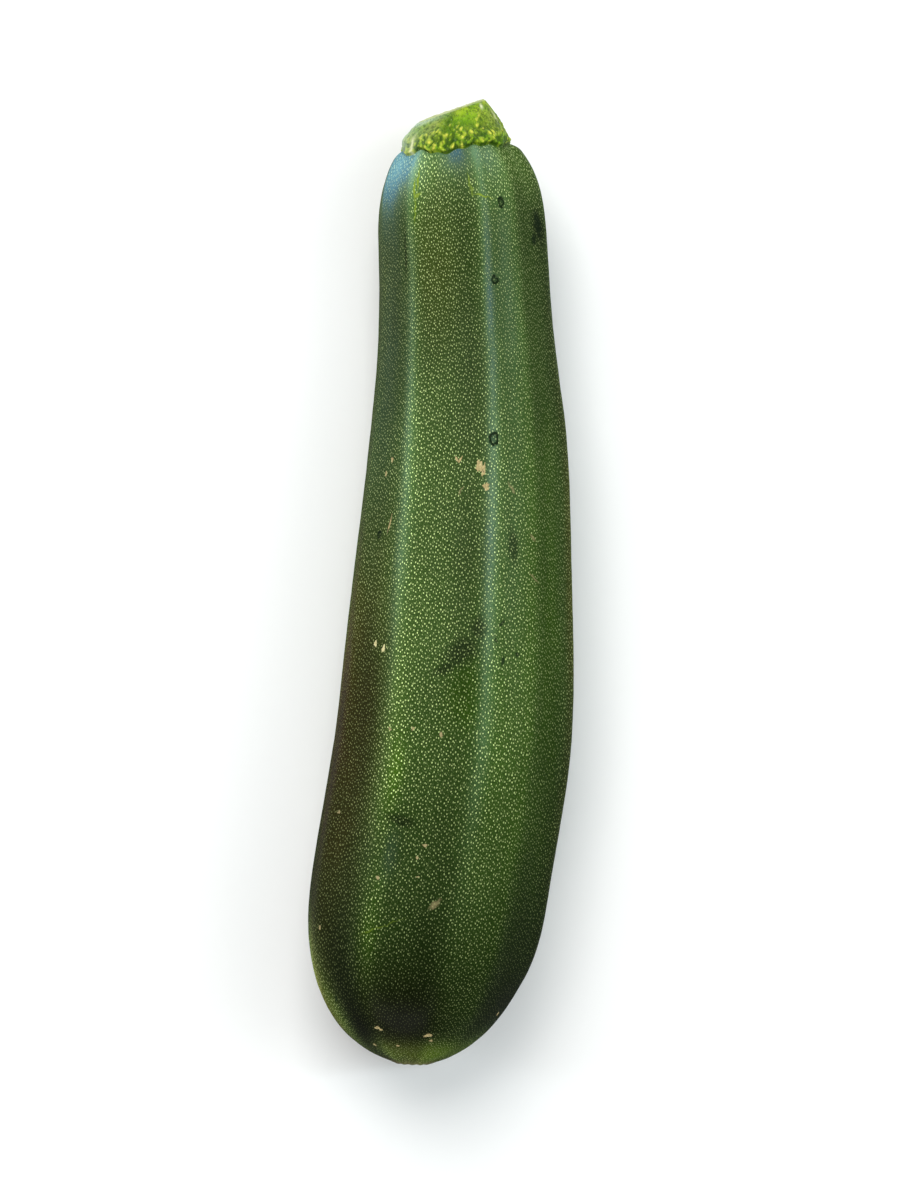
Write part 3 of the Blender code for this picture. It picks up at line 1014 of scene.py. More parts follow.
def stem_flank(angles, foot, top, spread, look):
    """How far the flank reaches in each of its rings, the rings' heights, and how warty it is."""
    shares = np.linspace(0.0, 1.0, FLANK_ROWS)
    heights = foot + (top - foot) * shares[:, None]
    arc = np.radians(angles) * STEM_FOOT_REACH
    draw = np.random.default_rng(SEED)
    over_foot = heights - foot
    large = [share * look.wart_radius for share in WART_SIZES]
    small = [share * look.wart_radius for share in BEAD_SIZES]
    level = look.wart_level
    knobs = warts(draw, arc, over_foot, look.wart_count, large, level, WART_SPREAD)
    beads = warts(draw, arc, over_foot, look.bead_count, small, BEAD_LEVEL * level, BEAD_SPREAD)
    smooth = 1 - LIME_SMOOTHING * np.clip(patch_sum(shares, angles, LIME_PATCHES[:1]), 0, 1)
    smooth = smooth * (1 - GLINT_SMOOTHING * np.clip(patch_sum(shares, angles, GLINT_PATCHES), 0, 1))
    warty = (WART_SHARE * knobs + BEAD_SHARE * beads) * smooth
    coarse, fine, finest = (streaks(angles, *row) for row in FLANK_STREAKS)
    groove = look.streak_height * (coarse + 0.5 * fine + 0.3 * finest) * fade(shares, 0.15)[:, None]
    tufts = 0.5 + streaks(angles, *FRINGE_STREAKS)
    fringe = look.fringe_height * bell(over_foot - FRINGE_LEVEL, FRINGE_LEVEL) * tufts
    roll = -FOOT_EDGE_RADIUS * (1 - fade(shares, 0.06))[:, None]
    lip = -CUT_LIP * (1 - fade(1 - shares, 0.04))[:, None]
    spread = spread * bell(shares, LOBE_RISE)[:, None]
    reach = stem_reach(heights) + groove + look.wart_height * warty + fringe + roll + lip + spread
    return shares, heights, reach, warty


def stem_cut(angles, across, up, top):
    """Rings across the slanted cut, from its rim to near its middle, with its woodiness and rays."""
    reach = stem_reach(top)
    rays = streaks(angles, *RAY_STREAKS)
    coarse = streaks(angles, *FLANK_STREAKS[0])
    rings, woody = [], []
    for share in np.linspace(0.985, 0.03, CUT_ROWS):
        lean = share * stem_lean(top) + (1 - share) * stem_lean(STEM_HEIGHT)
        side, lift = share * reach * across + lean, share * reach * up
        pith = PITH_DEPTH * fade(PITH_FRACTION - share, 0.5)
        wave = np.cos(np.radians(angles) * BUNDLES + 3 * coarse)
        bundles = BUNDLE_HEIGHT * bell(share - BUNDLE_SHARE, 0.07) * wave
        fibre = FIBRE_HEIGHT * rays * fade(share, 0.3)
        rings.append(np.stack([side, cut_height(side, lift) - pith + bundles + fibre, lift], axis=-1))
        woody.append(np.full(len(angles), 1.0 - 0.6 * fade(share - BUNDLE_SHARE, 0.18)))
    tint = np.clip(0.5 + 0.9 * rays, 0, 1)
    return np.array(rings), np.array(woody), np.broadcast_to(tint, (CUT_ROWS, len(angles)))


def stem_form(crown, slide, look):
    """The stem's rings of points, its two end points and its fields."""
    seat = Matrix.Translation(Vector(slide)) @ frame_at(SEAT_STATION)
    seat = seat @ Matrix.Translation((STEM_SIDE_SHIFT, 0, 0))
    angles = angles_around(STEM_AROUND)
    outline = stem_outline(angles)
    across, up = outline * np.sin(np.radians(angles)), outline * np.cos(np.radians(angles))
    spread = foot_spread(angles)
    under, foot = stem_underside(seat, crown, spread, across, up)
    top = stem_top(across, up)
    shares, heights, reach, warty = stem_flank(angles, foot, top, spread, look)
    flank = np.stack([reach * across + stem_lean(heights), heights, reach * up], axis=-1)
    face, woody, tint = stem_cut(angles, across, up, top)
    axes = np.array(seat)
    rings = np.concatenate([under, flank, face]) @ axes[:3, :3].T + axes[:3, 3]

    def whole(on_flank, on_face):
        """Field of the whole stem, with the foot's values carried on beneath it."""
        beneath = np.broadcast_to(on_flank[0], (len(under), len(angles)))
        return np.concatenate([beneath, on_flank, np.broadcast_to(on_face, face.shape[:2])])

    fields = {
        "wart": whole(warty, 0.0),
        "rise": whole(np.broadcast_to(shares[:, None], warty.shape), 1.0),
        "cut": whole(np.zeros(warty.shape), woody),
        "ray": whole(np.zeros(warty.shape), tint),
        # Where painted bluish sky glints lie on the facets.
        "glint": whole(patch_sum(shares, angles, GLINT_PATCHES), 0.0),
        "pale": whole(patch_sum(shares, angles, PALE_EDGE_PATCHES), 0.0),
        "olive": whole(patch_sum(shares, angles, OLIVE_PATCHES), 0.0),
        "lime": whole(patch_sum(shares, angles, LIME_PATCHES), 0.0),
        "shade": whole(patch_sum(shares, angles, SHADE_PATCHES), 0.0),
    }
    return rings, rings[0].mean(axis=0), rings[-1].mean(axis=0), fields


# ---------------------------------------------------------------- flakes on the skin


def flake_rings(skin, middle, normal, axes, flake, draw):
    """Rings of one raised, ragged flake whose edge is buried in the skin."""
    _, _, half_across, half_along, turn = flake
    circle = np.arange(FLAKE_AROUND) * 2 * math.pi / FLAKE_AROUND
    ragged = 1 + FLAKE_RAGGEDNESS * draw.uniform(-1, 1, FLAKE_AROUND)
    ragged = ragged + FLAKE_LOBE_SIZE * np.cos(FLAKE_LOBES * circle + draw.uniform(0, 6))
    spin = math.radians(turn)
    rings = []
    for share in np.linspace(0.2, 1.0, FLAKE_ROWS):
        lift = FLAKE_LIFT * (1 - share**3) - 0.3 * FLAKE_ROOT * share**6
        ring = []
        for angle, edge in zip(circle, ragged):
            aside = share * edge * half_across * math.cos(angle)
            ahead = share * edge * half_along * math.sin(angle)
            place = middle + axes[0] * (aside * math.cos(spin) - ahead * math.sin(spin))
            place = place + axes[1] * (aside * math.sin(spin) + ahead * math.cos(spin))
            hit, facing, _, _ = skin.ray_cast(place + normal * RAY_REACH, -normal)
            bump = FLAKE_ROUGHNESS * FLAKE_LIFT * draw.uniform(-1, 1) * (1 - share)
            ring.append(hit + facing * (lift + bump))
        rings.append(ring)
    return rings


def flakes_mesh(name, skin, form, flakes, seed):
    """One mesh of many small flakes, each lying on the skin at its station and angle."""
    draw = np.random.default_rng(seed)
    points, faces = [], []
    for flake in flakes:
        middle, normal = place_on_skin(form, flake[0], flake[1])
        side = Vector((0, 1, 0)).cross(normal).normalized()
        axes = (side, normal.cross(side))
        rings = flake_rings(skin, middle, normal, axes, flake, draw)
        base = len(points)
        for ring in rings:
            points.extend(ring)
        below = len(points)
        points.extend([point - normal * FLAKE_ROOT for point in rings[-1]])
        top, bottom = len(points), len(points) + 1
        points.extend([middle + normal * FLAKE_LIFT, middle - normal * FLAKE_ROOT])
        for step in range(FLAKE_AROUND):
            after = (step + 1) % FLAKE_AROUND
            faces.append((base + step, base + after, top))
            for row in range(FLAKE_ROWS):
                inner = base + row * FLAKE_AROUND
                outer = inner + FLAKE_AROUND if row < FLAKE_ROWS - 1 else below
                faces.append((inner + step, outer + step, outer + after, inner + after))
            faces.append((below + after, below + step, bottom))
    mesh = bpy.data.meshes.new(name)
    mesh.from_pydata([tuple(point) for point in points], [], faces)
    mesh.validate()
    mesh.shade_smooth()
    return mesh


def place_on_skin(form, station, angle):
    """Point and outward direction of the skin at a station and angle."""
    skin, slide = form
    turn = math.radians(angle)
    axes = Matrix.Translation(Vector(slide)) @ frame_at(station)
    out = (axes.to_3x3() @ Vector((math.sin(turn), 0, math.cos(turn)))).normalized()
    hit, facing, _, _ = skin.ray_cast(axes.translation + out * 0.1, -out)
    return hit, facing


def tree_of(piece):
    """Lookup tree of a piece's surface."""
    mesh = piece.data
    points = [vertex.co for vertex in mesh.vertices]
    return BVHTree.FromPolygons(points, [face.vertices for face in mesh.polygons])


# ---------------------------------------------------------------- nodes


def put(socket, value):
    """Join a socket to another one, or give it a plain value."""
    if isinstance(value, bpy.types.NodeSocket):
        socket.id_data.links.new(value, socket)
    else:
        socket.default_value = value


def add_node(tree, kind, inputs=(), **settings):
    """Add a node with its settings and its inputs, given as (name or number, value) pairs."""
    node = tree.nodes.new(kind)
    for label, value in settings.items():
        setattr(node, label, value)
    for label, value in inputs:
        put(node.inputs[label], value)
    return node


def calc(tree, operation, first, second=0.0, third=0.0, clamp=False):
    """Number worked out from up to three others."""
    inputs = ((0, first), (1, second), (2, third))
    return add_node(tree, "ShaderNodeMath", inputs, operation=operation, use_clamp=clamp).outputs[0]


def times(tree, first, second, clamp=False):
    """Product of two numbers."""
    return calc(tree, "MULTIPLY", first, second, clamp=clamp)


def line(tree, value, slope, start, clamp=False):
    """Number that changes evenly with another: the slope times it, from a start."""
    return calc(tree, "MULTIPLY_ADD", value, slope, start, clamp=clamp)


def larger(tree, first, second, clamp=False):
    """Larger of two numbers."""
    return calc(tree, "MAXIMUM", first, second, clamp=clamp)


def vector_calc(tree, operation, first, second):
    """Vector worked out from two others."""
    inputs = ((0, first), (1, second))
    return add_node(tree, "ShaderNodeVectorMath", inputs, operation=operation).outputs[0]


def mix(tree, share, under, over, blend="MIX"):
    """Colour laid over another by a share."""
    inputs = ((0, share), (6, under), (7, over))
    node = add_node(tree, "ShaderNodeMix", inputs, data_type="RGBA", blend_type=blend)
    return node.outputs[2]


def scaled(tree, colour, factor):
    """Colour made lighter or darker by a factor."""
    inputs = ((0, colour), (3, factor))
    return add_node(tree, "ShaderNodeVectorMath", inputs, operation="SCALE").outputs[0]


def rise_between(tree, value, low, high):
    """Smooth rise from 0 at the low value to 1 at the high one; it falls if low is above high."""
    inputs = (("Value", value), ("From Min", low), ("From Max", high))
    node = add_node(tree, "ShaderNodeMapRange", inputs, interpolation_type="SMOOTHSTEP")
    return node.outputs[0]


def field(tree, label):
    """Number that the mesh keeps at each of its points."""
    return add_node(tree, "ShaderNodeAttribute", attribute_name=label).outputs["Fac"]


def cloud(tree, place, size, detail=2.0, roughness=0.5, stretch=(1.0, 1.0, 1.0)):
    """Cloudy number from 0 to 1, with clouds of this size; a stretch draws them out."""
    scale = tuple(1 / (size * part) for part in stretch)
    drawn_out = vector_calc(tree, "MULTIPLY", place, scale)
    inputs = (("Vector", drawn_out), ("Scale", 1.0), ("Detail", detail), ("Roughness", roughness))
    return add_node(tree, "ShaderNodeTexNoise", inputs).outputs[0]


def new_material(name):
    """Empty node material, its shader and its tree."""
    material = bpy.data.materials.new(name)
    material.use_nodes = True
    tree = material.node_tree
    return material, tree, tree.nodes["Principled BSDF"]


def bumpy(tree, shader, height, distance):
    """Let a height in metres, as a share of this distance, ripple the shader's surface."""
    inputs = (("Height", height), ("Distance", distance), ("Strength", 1.0))
    put(shader.inputs["Normal"], add_node(tree, "ShaderNodeBump", inputs).outputs[0])


def flecks(tree, place, spacing, stretch, sizes, faintest):
    """Small pale flecks, scattered evenly: how strong the fleck is, and how dark its ring."""
    inputs = (("Vector", place), ("Scale", FLECK_WANDER_SCALE / spacing), ("Detail", 2.0))
    wander = add_node(tree, "ShaderNodeTexNoise", inputs).outputs["Color"]
    squeezed = vector_calc(tree, "MULTIPLY", place, (1 / spacing, 1 / (spacing * stretch), 1.0))
    strayed = vector_calc(tree, "MULTIPLY", wander, (FLECK_WANDER, FLECK_WANDER, 0.0))
    inputs = (("Vector", vector_calc(tree, "ADD", squeezed, strayed)), ("Rotation", (0, 0, FLECK_TURN)))
    turned = add_node(tree, "ShaderNodeMapping", inputs).outputs[0]
    inputs = (("Vector", turned), ("Scale", 1.0), ("Randomness", FLECK_SCATTER))
    cells = add_node(tree, "ShaderNodeTexVoronoi", inputs, voronoi_dimensions="2D")
    chance = add_node(tree, "ShaderNodeSeparateColor", ((0, cells.outputs["Color"]),))
    low, high = sizes
    radius = line(tree, chance.outputs[0], high - low, low)
    ratio = calc(tree, "DIVIDE", cells.outputs["Distance"], radius)
    strength = line(tree, chance.outputs[1], 1.0 - faintest, faintest)
    ring = times(tree, rise_between(tree, ratio, *RING_EDGE), strength)
    return times(tree, rise_between(tree, ratio, *FLECK_EDGE), strength), ring


def nearest_mark(tree, place, form_rows, marks):
    """Distance from the nearest of these marks, as a share of its size: 1 is its edge."""
    stations, runs = form_rows
    nearest = 9.0
    for station, angle, half_across, half_along, turn in marks:
        squeeze = SKIN_MAP_RADIUS / float(half_width(station))
        centre = (math.radians(angle) * SKIN_MAP_RADIUS, float(np.interp(station, stations, runs)), 0)
        mapping = (
            ("Vector", place),
            ("Location", centre),
            ("Rotation", (0, 0, math.radians(turn))),
            ("Scale", (half_across * squeeze, half_along, 1)),
        )
        local = add_node(tree, "ShaderNodeMapping", mapping, vector_type="TEXTURE").outputs[0]
        length = add_node(tree, "ShaderNodeVectorMath", ((0, local),), operation="LENGTH")
        nearest = calc(tree, "MINIMUM", length.outputs["Value"], nearest)
    return nearest


def fleck_layers(tree, around, tip, look):
    """All the skin's flecks: how strong they are at a place, and how dark the rings round them."""
    off_tip = add_node(tree, "ShaderNodeVectorMath", ((0, tip),), operation="LENGTH").outputs["Value"]
    on_body = rise_between(tree, off_tip, *TIP_MAP_EDGE)
    sizes = (look.fleck_small, look.fleck_large)
    rowed, ring = flecks(tree, around, look.fleck_spacing, look.fleck_stretch, sizes, FLECK_FAINTEST)
    capped, _ = flecks(tree, tip, look.fleck_spacing, 1.0, sizes, FLECK_FAINTEST)
    inputs = ((0, on_body), (2, capped), (3, rowed))
    fleck = add_node(tree, "ShaderNodeMix", inputs, data_type="FLOAT").outputs[0]
    spacing = DUST_SPACING * look.fleck_spacing
    dust, _ = flecks(tree, around, spacing, DUST_STRETCH, DUST_SIZES, DUST_FAINTEST)
    return larger(tree, fleck, times(tree, dust, DUST_LEVEL)), ring


def skin_hue(tree, body, look):
    """The skin's hue at full lightness, and how much painted sheen it carries."""
    uneven = cloud(tree, body, 0.007, 3.0, 0.6, (1.0, 1.8, 1.0))
    share = line(tree, uneven, 1.1, 0.45)
    streaky = cloud(tree, body, 0.0022, 3.0, 0.6, (1.0, 5.0, 1.0))
    fresh = times(tree, field(tree, "leafy"), share, clamp=True)
    hue = mix(tree, fresh, look.skin_green, look.leaf_green)
    # Painted brown reflection on the left flank, the skin's own brown elsewhere.
    brown_and_reflection_share = times(tree, field(tree, "brown"), share)
    hue = mix(tree, calc(tree, "MINIMUM", brown_and_reflection_share, 1.0), hue, look.brown_and_reflection_tint)
    hue = mix(tree, rise_between(tree, brown_and_reflection_share, *SECOND_HUE_STRENGTHS), hue, look.russet_and_reflection_tint)
    # Painted sheen: highlights along the ribs and bluish sky reflections, streaked.
    sheen_strength = times(tree, field(tree, "sheen"), line(tree, streaky, 0.9, 0.55))
    sheen_cover = times(tree, sheen_strength, look.sheen, clamp=True)
    hue = mix(tree, sheen_cover, hue, look.sheen_green)
    return mix(tree, rise_between(tree, sheen_strength, *SECOND_HUE_STRENGTHS), hue, look.sheen_blue), sheen_cover


def skin_depth(tree, around, ring, sheen_cover, wet, look):
    """How light the skin between flecks is: grainy, lighter under painted sheen, darker round flecks and
    wet.
    """
    grain = cloud(tree, around, 0.00045, 2.0, 0.6, (1.0, 1.4, 1.0))
    depth = times(tree, line(tree, grain, 1.3, 0.35), look.ground_level)
    depth = times(tree, depth, line(tree, ring, -RING_DEPTH, 1.0))
    depth = line(tree, sheen_cover, SHEEN_LIFT, depth)
    return times(tree, depth, line(tree, wet, -WET_DEPTH, 1.0))


def flecks_shown(tree, sheen_cover, wet):
    """Share of the flecks that shows: fewer on bare ribs and belly, under painted sheen and under water.
    """
    bare = times(tree, field(tree, "crest"), field(tree, "nearness"))
    bare = larger(tree, bare, field(tree, "belly"))
    shown = line(tree, bare, -BARE_LOSS, 1.0, clamp=True)
    shown = times(tree, shown, calc(tree, "SUBTRACT", 1.0, field(tree, "faint")))
    shown = times(tree, shown, line(tree, sheen_cover, -SHEEN_LOSS, 1.0))
    return times(tree, shown, line(tree, wet, -WET_LOSS, 1.0))


def marked_skin(tree, colour, shading, worn, rows, look):
    """The skin's colour with its small marks and painted shade in its dimples, and how deep the grooves
    round its dimples are.
    """
    ticks = rise_between(tree, nearest_mark(tree, worn, rows, LIME_TICKS), 1.5, 0.5)
    ticks = times(tree, ticks, times(tree, shading, TICK_LEVEL), clamp=True)
    colour = mix(tree, ticks, colour, look.tick_lime)
    dots = rise_between(tree, nearest_mark(tree, worn, rows, PALE_DOTS), 1.1, 0.6)
    scratch = rise_between(tree, nearest_mark(tree, worn, rows, PALE_SCRATCHES), 1.6, 0.4)
    colour = mix(tree, larger(tree, dots, times(tree, scratch, SCRATCH_LEVEL)), colour, look.cork)
    nick = rise_between(tree, nearest_mark(tree, worn, rows, DARK_NICKS), 1.3, 0.5)
    dimple = nearest_mark(tree, worn, rows, BROWN_DIMPLES)
    inner, outer = rise_between(tree, dimple, 0.35, 0.75), rise_between(tree, dimple, 1.35, 1.0)
    # The dark groove round each dimple and its dark pit are painted shade.
    groove = times(tree, inner, outer)
    pit_shade = times(tree, rise_between(tree, dimple, 1.1, 0.8), PIT_SHADE_LEVEL)
    dark = larger(tree, times(tree, nick, NICK_LEVEL), larger(tree, groove, pit_shade))
    colour = mix(tree, times(tree, dark, DARK_LEVEL), colour, look.pit_shade_green)
    return mix(tree, times(tree, field(tree, "scar"), SCAR_LEVEL), colour, look.cork), groove


def skin_material(look):
    """The fruit's waxy skin: deep green, flecked with pale green, painted lighter along its ribs as
    highlights, with painted shade and sky reflections.
    """
    material, tree, shader = new_material("zucchini_skin")
    stations, widths, _ = fruit_rows()
    rows = (stations, map_runs(stations, widths))
    around = add_node(tree, "ShaderNodeUVMap", uv_map="around").outputs[0]
    tip = add_node(tree, "ShaderNodeUVMap", uv_map="tip").outputs[0]
    body = add_node(tree, "ShaderNodeTexCoord").outputs["Object"]
    inputs = (("Vector", body), ("Scale", RAGGED_SCALE), ("Detail", 2.0))
    ragged = add_node(tree, "ShaderNodeTexNoise", inputs).outputs["Color"]
    shifted = vector_calc(tree, "SUBTRACT", ragged, (0.5, 0.5, 0.5))
    worn = vector_calc(tree, "ADD", around, vector_calc(tree, "MULTIPLY", shifted, MARK_RAGGEDNESS))

    fleck, ring = fleck_layers(tree, around, tip, look)
    hue, sheen_cover = skin_hue(tree, body, look)
    patches = cloud(tree, body, 0.012, 3.0, 0.55, (1.0, 2.2, 1.0))
    # Painted light and shade, varied by soft random patches.
    shading = times(tree, field(tree, "shading"), line(tree, patches, 0.7, 0.65))
    wet = rise_between(tree, nearest_mark(tree, worn, rows, WET_PATCHES), 1.5, 0.3)
    depth = skin_depth(tree, around, ring, sheen_cover, wet, look)
    colour = scaled(tree, hue, times(tree, depth, shading))
    cream = mix(tree, FLECK_CREAM_SHARE, hue, look.fleck_cream)
    pale = scaled(tree, cream, times(tree, shading, look.fleck_level))
    shown = flecks_shown(tree, sheen_cover, wet)
    colour = mix(tree, times(tree, fleck, shown, clamp=True), colour, pale)
    colour, groove = marked_skin(tree, colour, shading, worn, rows, look)
    put(shader.inputs["Base Color"], colour)

    shader.inputs["Roughness"].default_value = SKIN_ROUGHNESS
    shader.inputs["Specular IOR Level"].default_value = 0.0
    shader.inputs["Coat Weight"].default_value = look.shine
    shader.inputs["Coat Roughness"].default_value = look.roughness
    pores = cloud(tree, body, 0.0005, 2.0, 0.6)
    height = line(tree, fleck, 0.5, times(tree, pores, 0.5))
    height = line(tree, groove, -2.0, height)
    bumpy(tree, shader, height, look.bump_height)
    return material


def stem_material(look):
    """The stem: grass green, streaked and warty, with painted shade in grooves and between warts,
    painted sky glints and a pale, fibrous cut.
    """
    material, tree, shader = new_material("zucchini_stem")
    body = add_node(tree, "ShaderNodeTexCoord").outputs["Object"]
    streak = cloud(tree, body, 0.0007, 3.0, 0.65, (1.0, 5.0, 1.0))
    blotch = cloud(tree, body, 0.0030, 3.0, 0.6)
    speckle = cloud(tree, body, 0.0004, 2.0, 0.7)
    colour = mix(tree, rise_between(tree, blotch, 0.35, 0.65), look.stem_green, look.stem_light)
    for label, tint in (("olive", look.stem_olive), ("lime", look.stem_lime)):
        share = times(tree, field(tree, label), line(tree, blotch, 1.2, 0.3), clamp=True)
        colour = mix(tree, share, colour, tint)
    # Painted shade in the grooves of the streaks.
    hollow_shade = rise_between(tree, streak, 0.58, 0.36)
    hollow_shade = times(tree, hollow_shade, line(tree, field(tree, "lime"), -0.5, 0.75, clamp=True))
    colour = mix(tree, hollow_shade, colour, look.stem_shade_green)
    wart = field(tree, "wart")
    # Painted shade in the gaps between the warts, low on the flank.
    low = rise_between(tree, field(tree, "rise"), 0.75, 0.15)
    gap_shade = times(tree, rise_between(tree, wart, 0.30, 0.08), times(tree, low, GAP_SHADE_LEVEL))
    colour = mix(tree, gap_shade, colour, look.stem_shade_green)
    shade = times(tree, field(tree, "shade"), SHADE_LEVEL, clamp=True)
    colour = mix(tree, shade, colour, look.stem_shade_green)
    crown = times(tree, rise_between(tree, wart, 0.30, 0.80), line(tree, speckle, 2.2, -0.1))
    crown = times(tree, crown, line(tree, blotch, 0.8, 0.5), clamp=True)
    colour = mix(tree, crown, colour, look.wart_yellow)
    # Painted bluish sky glints on the facets, streaked.
    glint_share = times(tree, field(tree, "glint"), line(tree, streak, 2.4, -0.20), clamp=True)
    colour = mix(tree, glint_share, colour, look.glint_blue)
    hair = rise_between(tree, cloud(tree, body, 0.0004, 2.0, 0.7, (1.0, 7.0, 1.0)), 0.62, 0.76)
    hair = times(tree, hair, HAIR_LEVEL)
    pale = times(tree, field(tree, "pale"), line(tree, speckle, 1.2, 0.3))
    colour = mix(tree, larger(tree, hair, pale, clamp=True), colour, look.fibre_white)
    dried = rise_between(tree, field(tree, "rise"), 0.95, 1.0)
    colour = mix(tree, times(tree, dried, DRIED_LEVEL), colour, look.fibre_white)
    face = mix(tree, field(tree, "ray"), look.pith_green, look.pith_cream)
    freckle = rise_between(tree, cloud(tree, body, 0.0011, 3.0, 0.7), 0.60, 0.72)
    face = mix(tree, times(tree, freckle, FRECKLE_LEVEL), face, look.dried_brown)
    colour = mix(tree, field(tree, "cut"), colour, face)
    put(shader.inputs["Base Color"], colour)
    put(shader.inputs["Roughness"], line(tree, blotch, 0.20, 0.42))
    shader.inputs["Specular IOR Level"].default_value = look.stem_shine
    grain = line(tree, streak, 0.7, times(tree, speckle, 0.5))
    bumpy(tree, shader, grain, STEM_GRAIN)
    return material


def flake_material(name, base, dark, light):
    """Dry, crackled crust over a healed wound."""
    material, tree, shader = new_material(name)
    body = add_node(tree, "ShaderNodeTexCoord").outputs["Object"]
    crackle = cloud(tree, body, 0.0005, 3.0, 0.7, (1.0, 2.0, 1.0))
    colour = mix(tree, rise_between(tree, crackle, 0.35, 0.5), dark, base)
    colour = mix(tree, rise_between(tree, crackle, 0.52, 0.68), colour, light)
    put(shader.inputs["Base Color"], colour)
    put(shader.inputs["Roughness"], line(tree, crackle, 0.2, 0.6))
    bumpy(tree, shader, crackle, FLAKE_GRAIN)
    return material


def ground_material(colour):
    """Pale matt paper."""
    material, tree, shader = new_material("studio_ground")
    body = add_node(tree, "ShaderNodeTexCoord").outputs["Object"]
    grain = cloud(tree, body, 0.004, 2.0)
    darker = tuple(0.985 * part for part in colour[:3]) + (1.0,)
    put(shader.inputs["Base Color"], mix(tree, grain, darker, colour))
    shader.inputs["Roughness"].default_value = 0.9
    shader.inputs["Specular IOR Level"].default_value = 0.1
    return material


# ---------------------------------------------------------------- settings


def colour_setting(name, description, default):
    """A colour that a user may change."""
    colour = (*default, 1.0)
    return FloatVectorProperty(
        name=name, description=description, default=colour, subtype="COLOR", size=4, min=0, max=1
    )


def length_setting(name, description, default):
    """A length that a user may change."""
    return FloatProperty(
        name=name,
        description=description,
        default=default,
        min=0,
        precision=5,
        subtype="DISTANCE",
        unit="LENGTH",
    )


def share_setting(name, description, default):
    """A share from 0 to 1 that a user may change."""
    return FloatProperty(
        name=name, description=description, default=default, min=0, max=1, subtype="FACTOR"
    )


def number_setting(name, description, default, least=0.0):
    """A plain number that a user may change."""
    return FloatProperty(name=name, description=description, default=default, min=least)


def count_setting(name, description, default):
    """A number of things that a user may change."""
    return IntProperty(name=name, description=description, default=default, min=0)


class FruitLook(bpy.types.PropertyGroup):
    """Colours and relief of the fruit's skin."""

    skin_green: colour_setting("Skin green", "Skin at full lightness", (0.058, 0.122, 0.019))
    leaf_green: colour_setting("Leaf green", "Fresher patches of skin", (0.048, 0.126, 0.003))
    # The brown and russet tints paint a brown reflection on the left flank and the skin's own brown
    # elsewhere.
    brown_and_reflection_tint: colour_setting("Skin brown", "Brownish patches of skin", (0.115, 0.104, 0.010))
    russet_and_reflection_tint: colour_setting("Skin russet", "The brownest patches of skin", (0.150, 0.094, 0.028))
    # The sheen colours paint highlights along the ribs and bluish sky reflections on the skin.
    sheen_green: colour_setting("Bloom", "Skin under its waxy, bluish bloom", (0.062, 0.111, 0.068))
    sheen_blue: colour_setting("Thick bloom", "Skin under the thickest bloom", (0.046, 0.106, 0.128))
    fleck_cream: colour_setting("Fleck cream", "Flecks, at the skin's lightness", (0.098, 0.110, 0.048))
    tick_lime: colour_setting("Tick lime", "Bright ticks beside the stem", (0.220, 0.310, 0.030))
    # The pit green paints shade in the dimples and their grooves, and colours the dark nicks.
    pit_shade_green: colour_setting("Pit green", "Bottom of dimples and nicks", (0.004, 0.012, 0.003))
    cork: colour_setting("Cork", "Dry, healed skin", (0.330, 0.270, 0.130))
    fleck_spacing: length_setting("Fleck spacing", "Distance between flecks", 0.00086)
    fleck_stretch: number_setting("Fleck stretch", "Length over width of a fleck", 1.45, 1.0)
    fleck_small: share_setting("Smallest fleck", "Its half width as a share of the spacing", 0.17)
    fleck_large: share_setting("Largest fleck", "Its half width as a share of the spacing", 0.25)
    fleck_level: number_setting("Fleck level", "How light the flecks are", 6.0)
    ground_level: number_setting("Ground level", "How light the skin between is", 0.455)
    sheen: share_setting("Bloom share", "How much bloom the skin carries", 0.9)
    roughness: share_setting("Roughness", "How dull the wax is", 0.32)
    shine: share_setting("Shine", "How strongly the wax reflects", 0.065)
    ripple_height: length_setting("Ripple height", "Height of the soft lumps in the skin", 0.00028)
    pucker_depth: length_setting("Pucker depth", "Depth of the creases at both ends", 0.00022)
    dimple_depth: length_setting("Dimple depth", "Depth of the healed dimples", 0.00035)
    bump_height: length_setting("Grain height", "Height of the skin's finest grain", 0.00004)


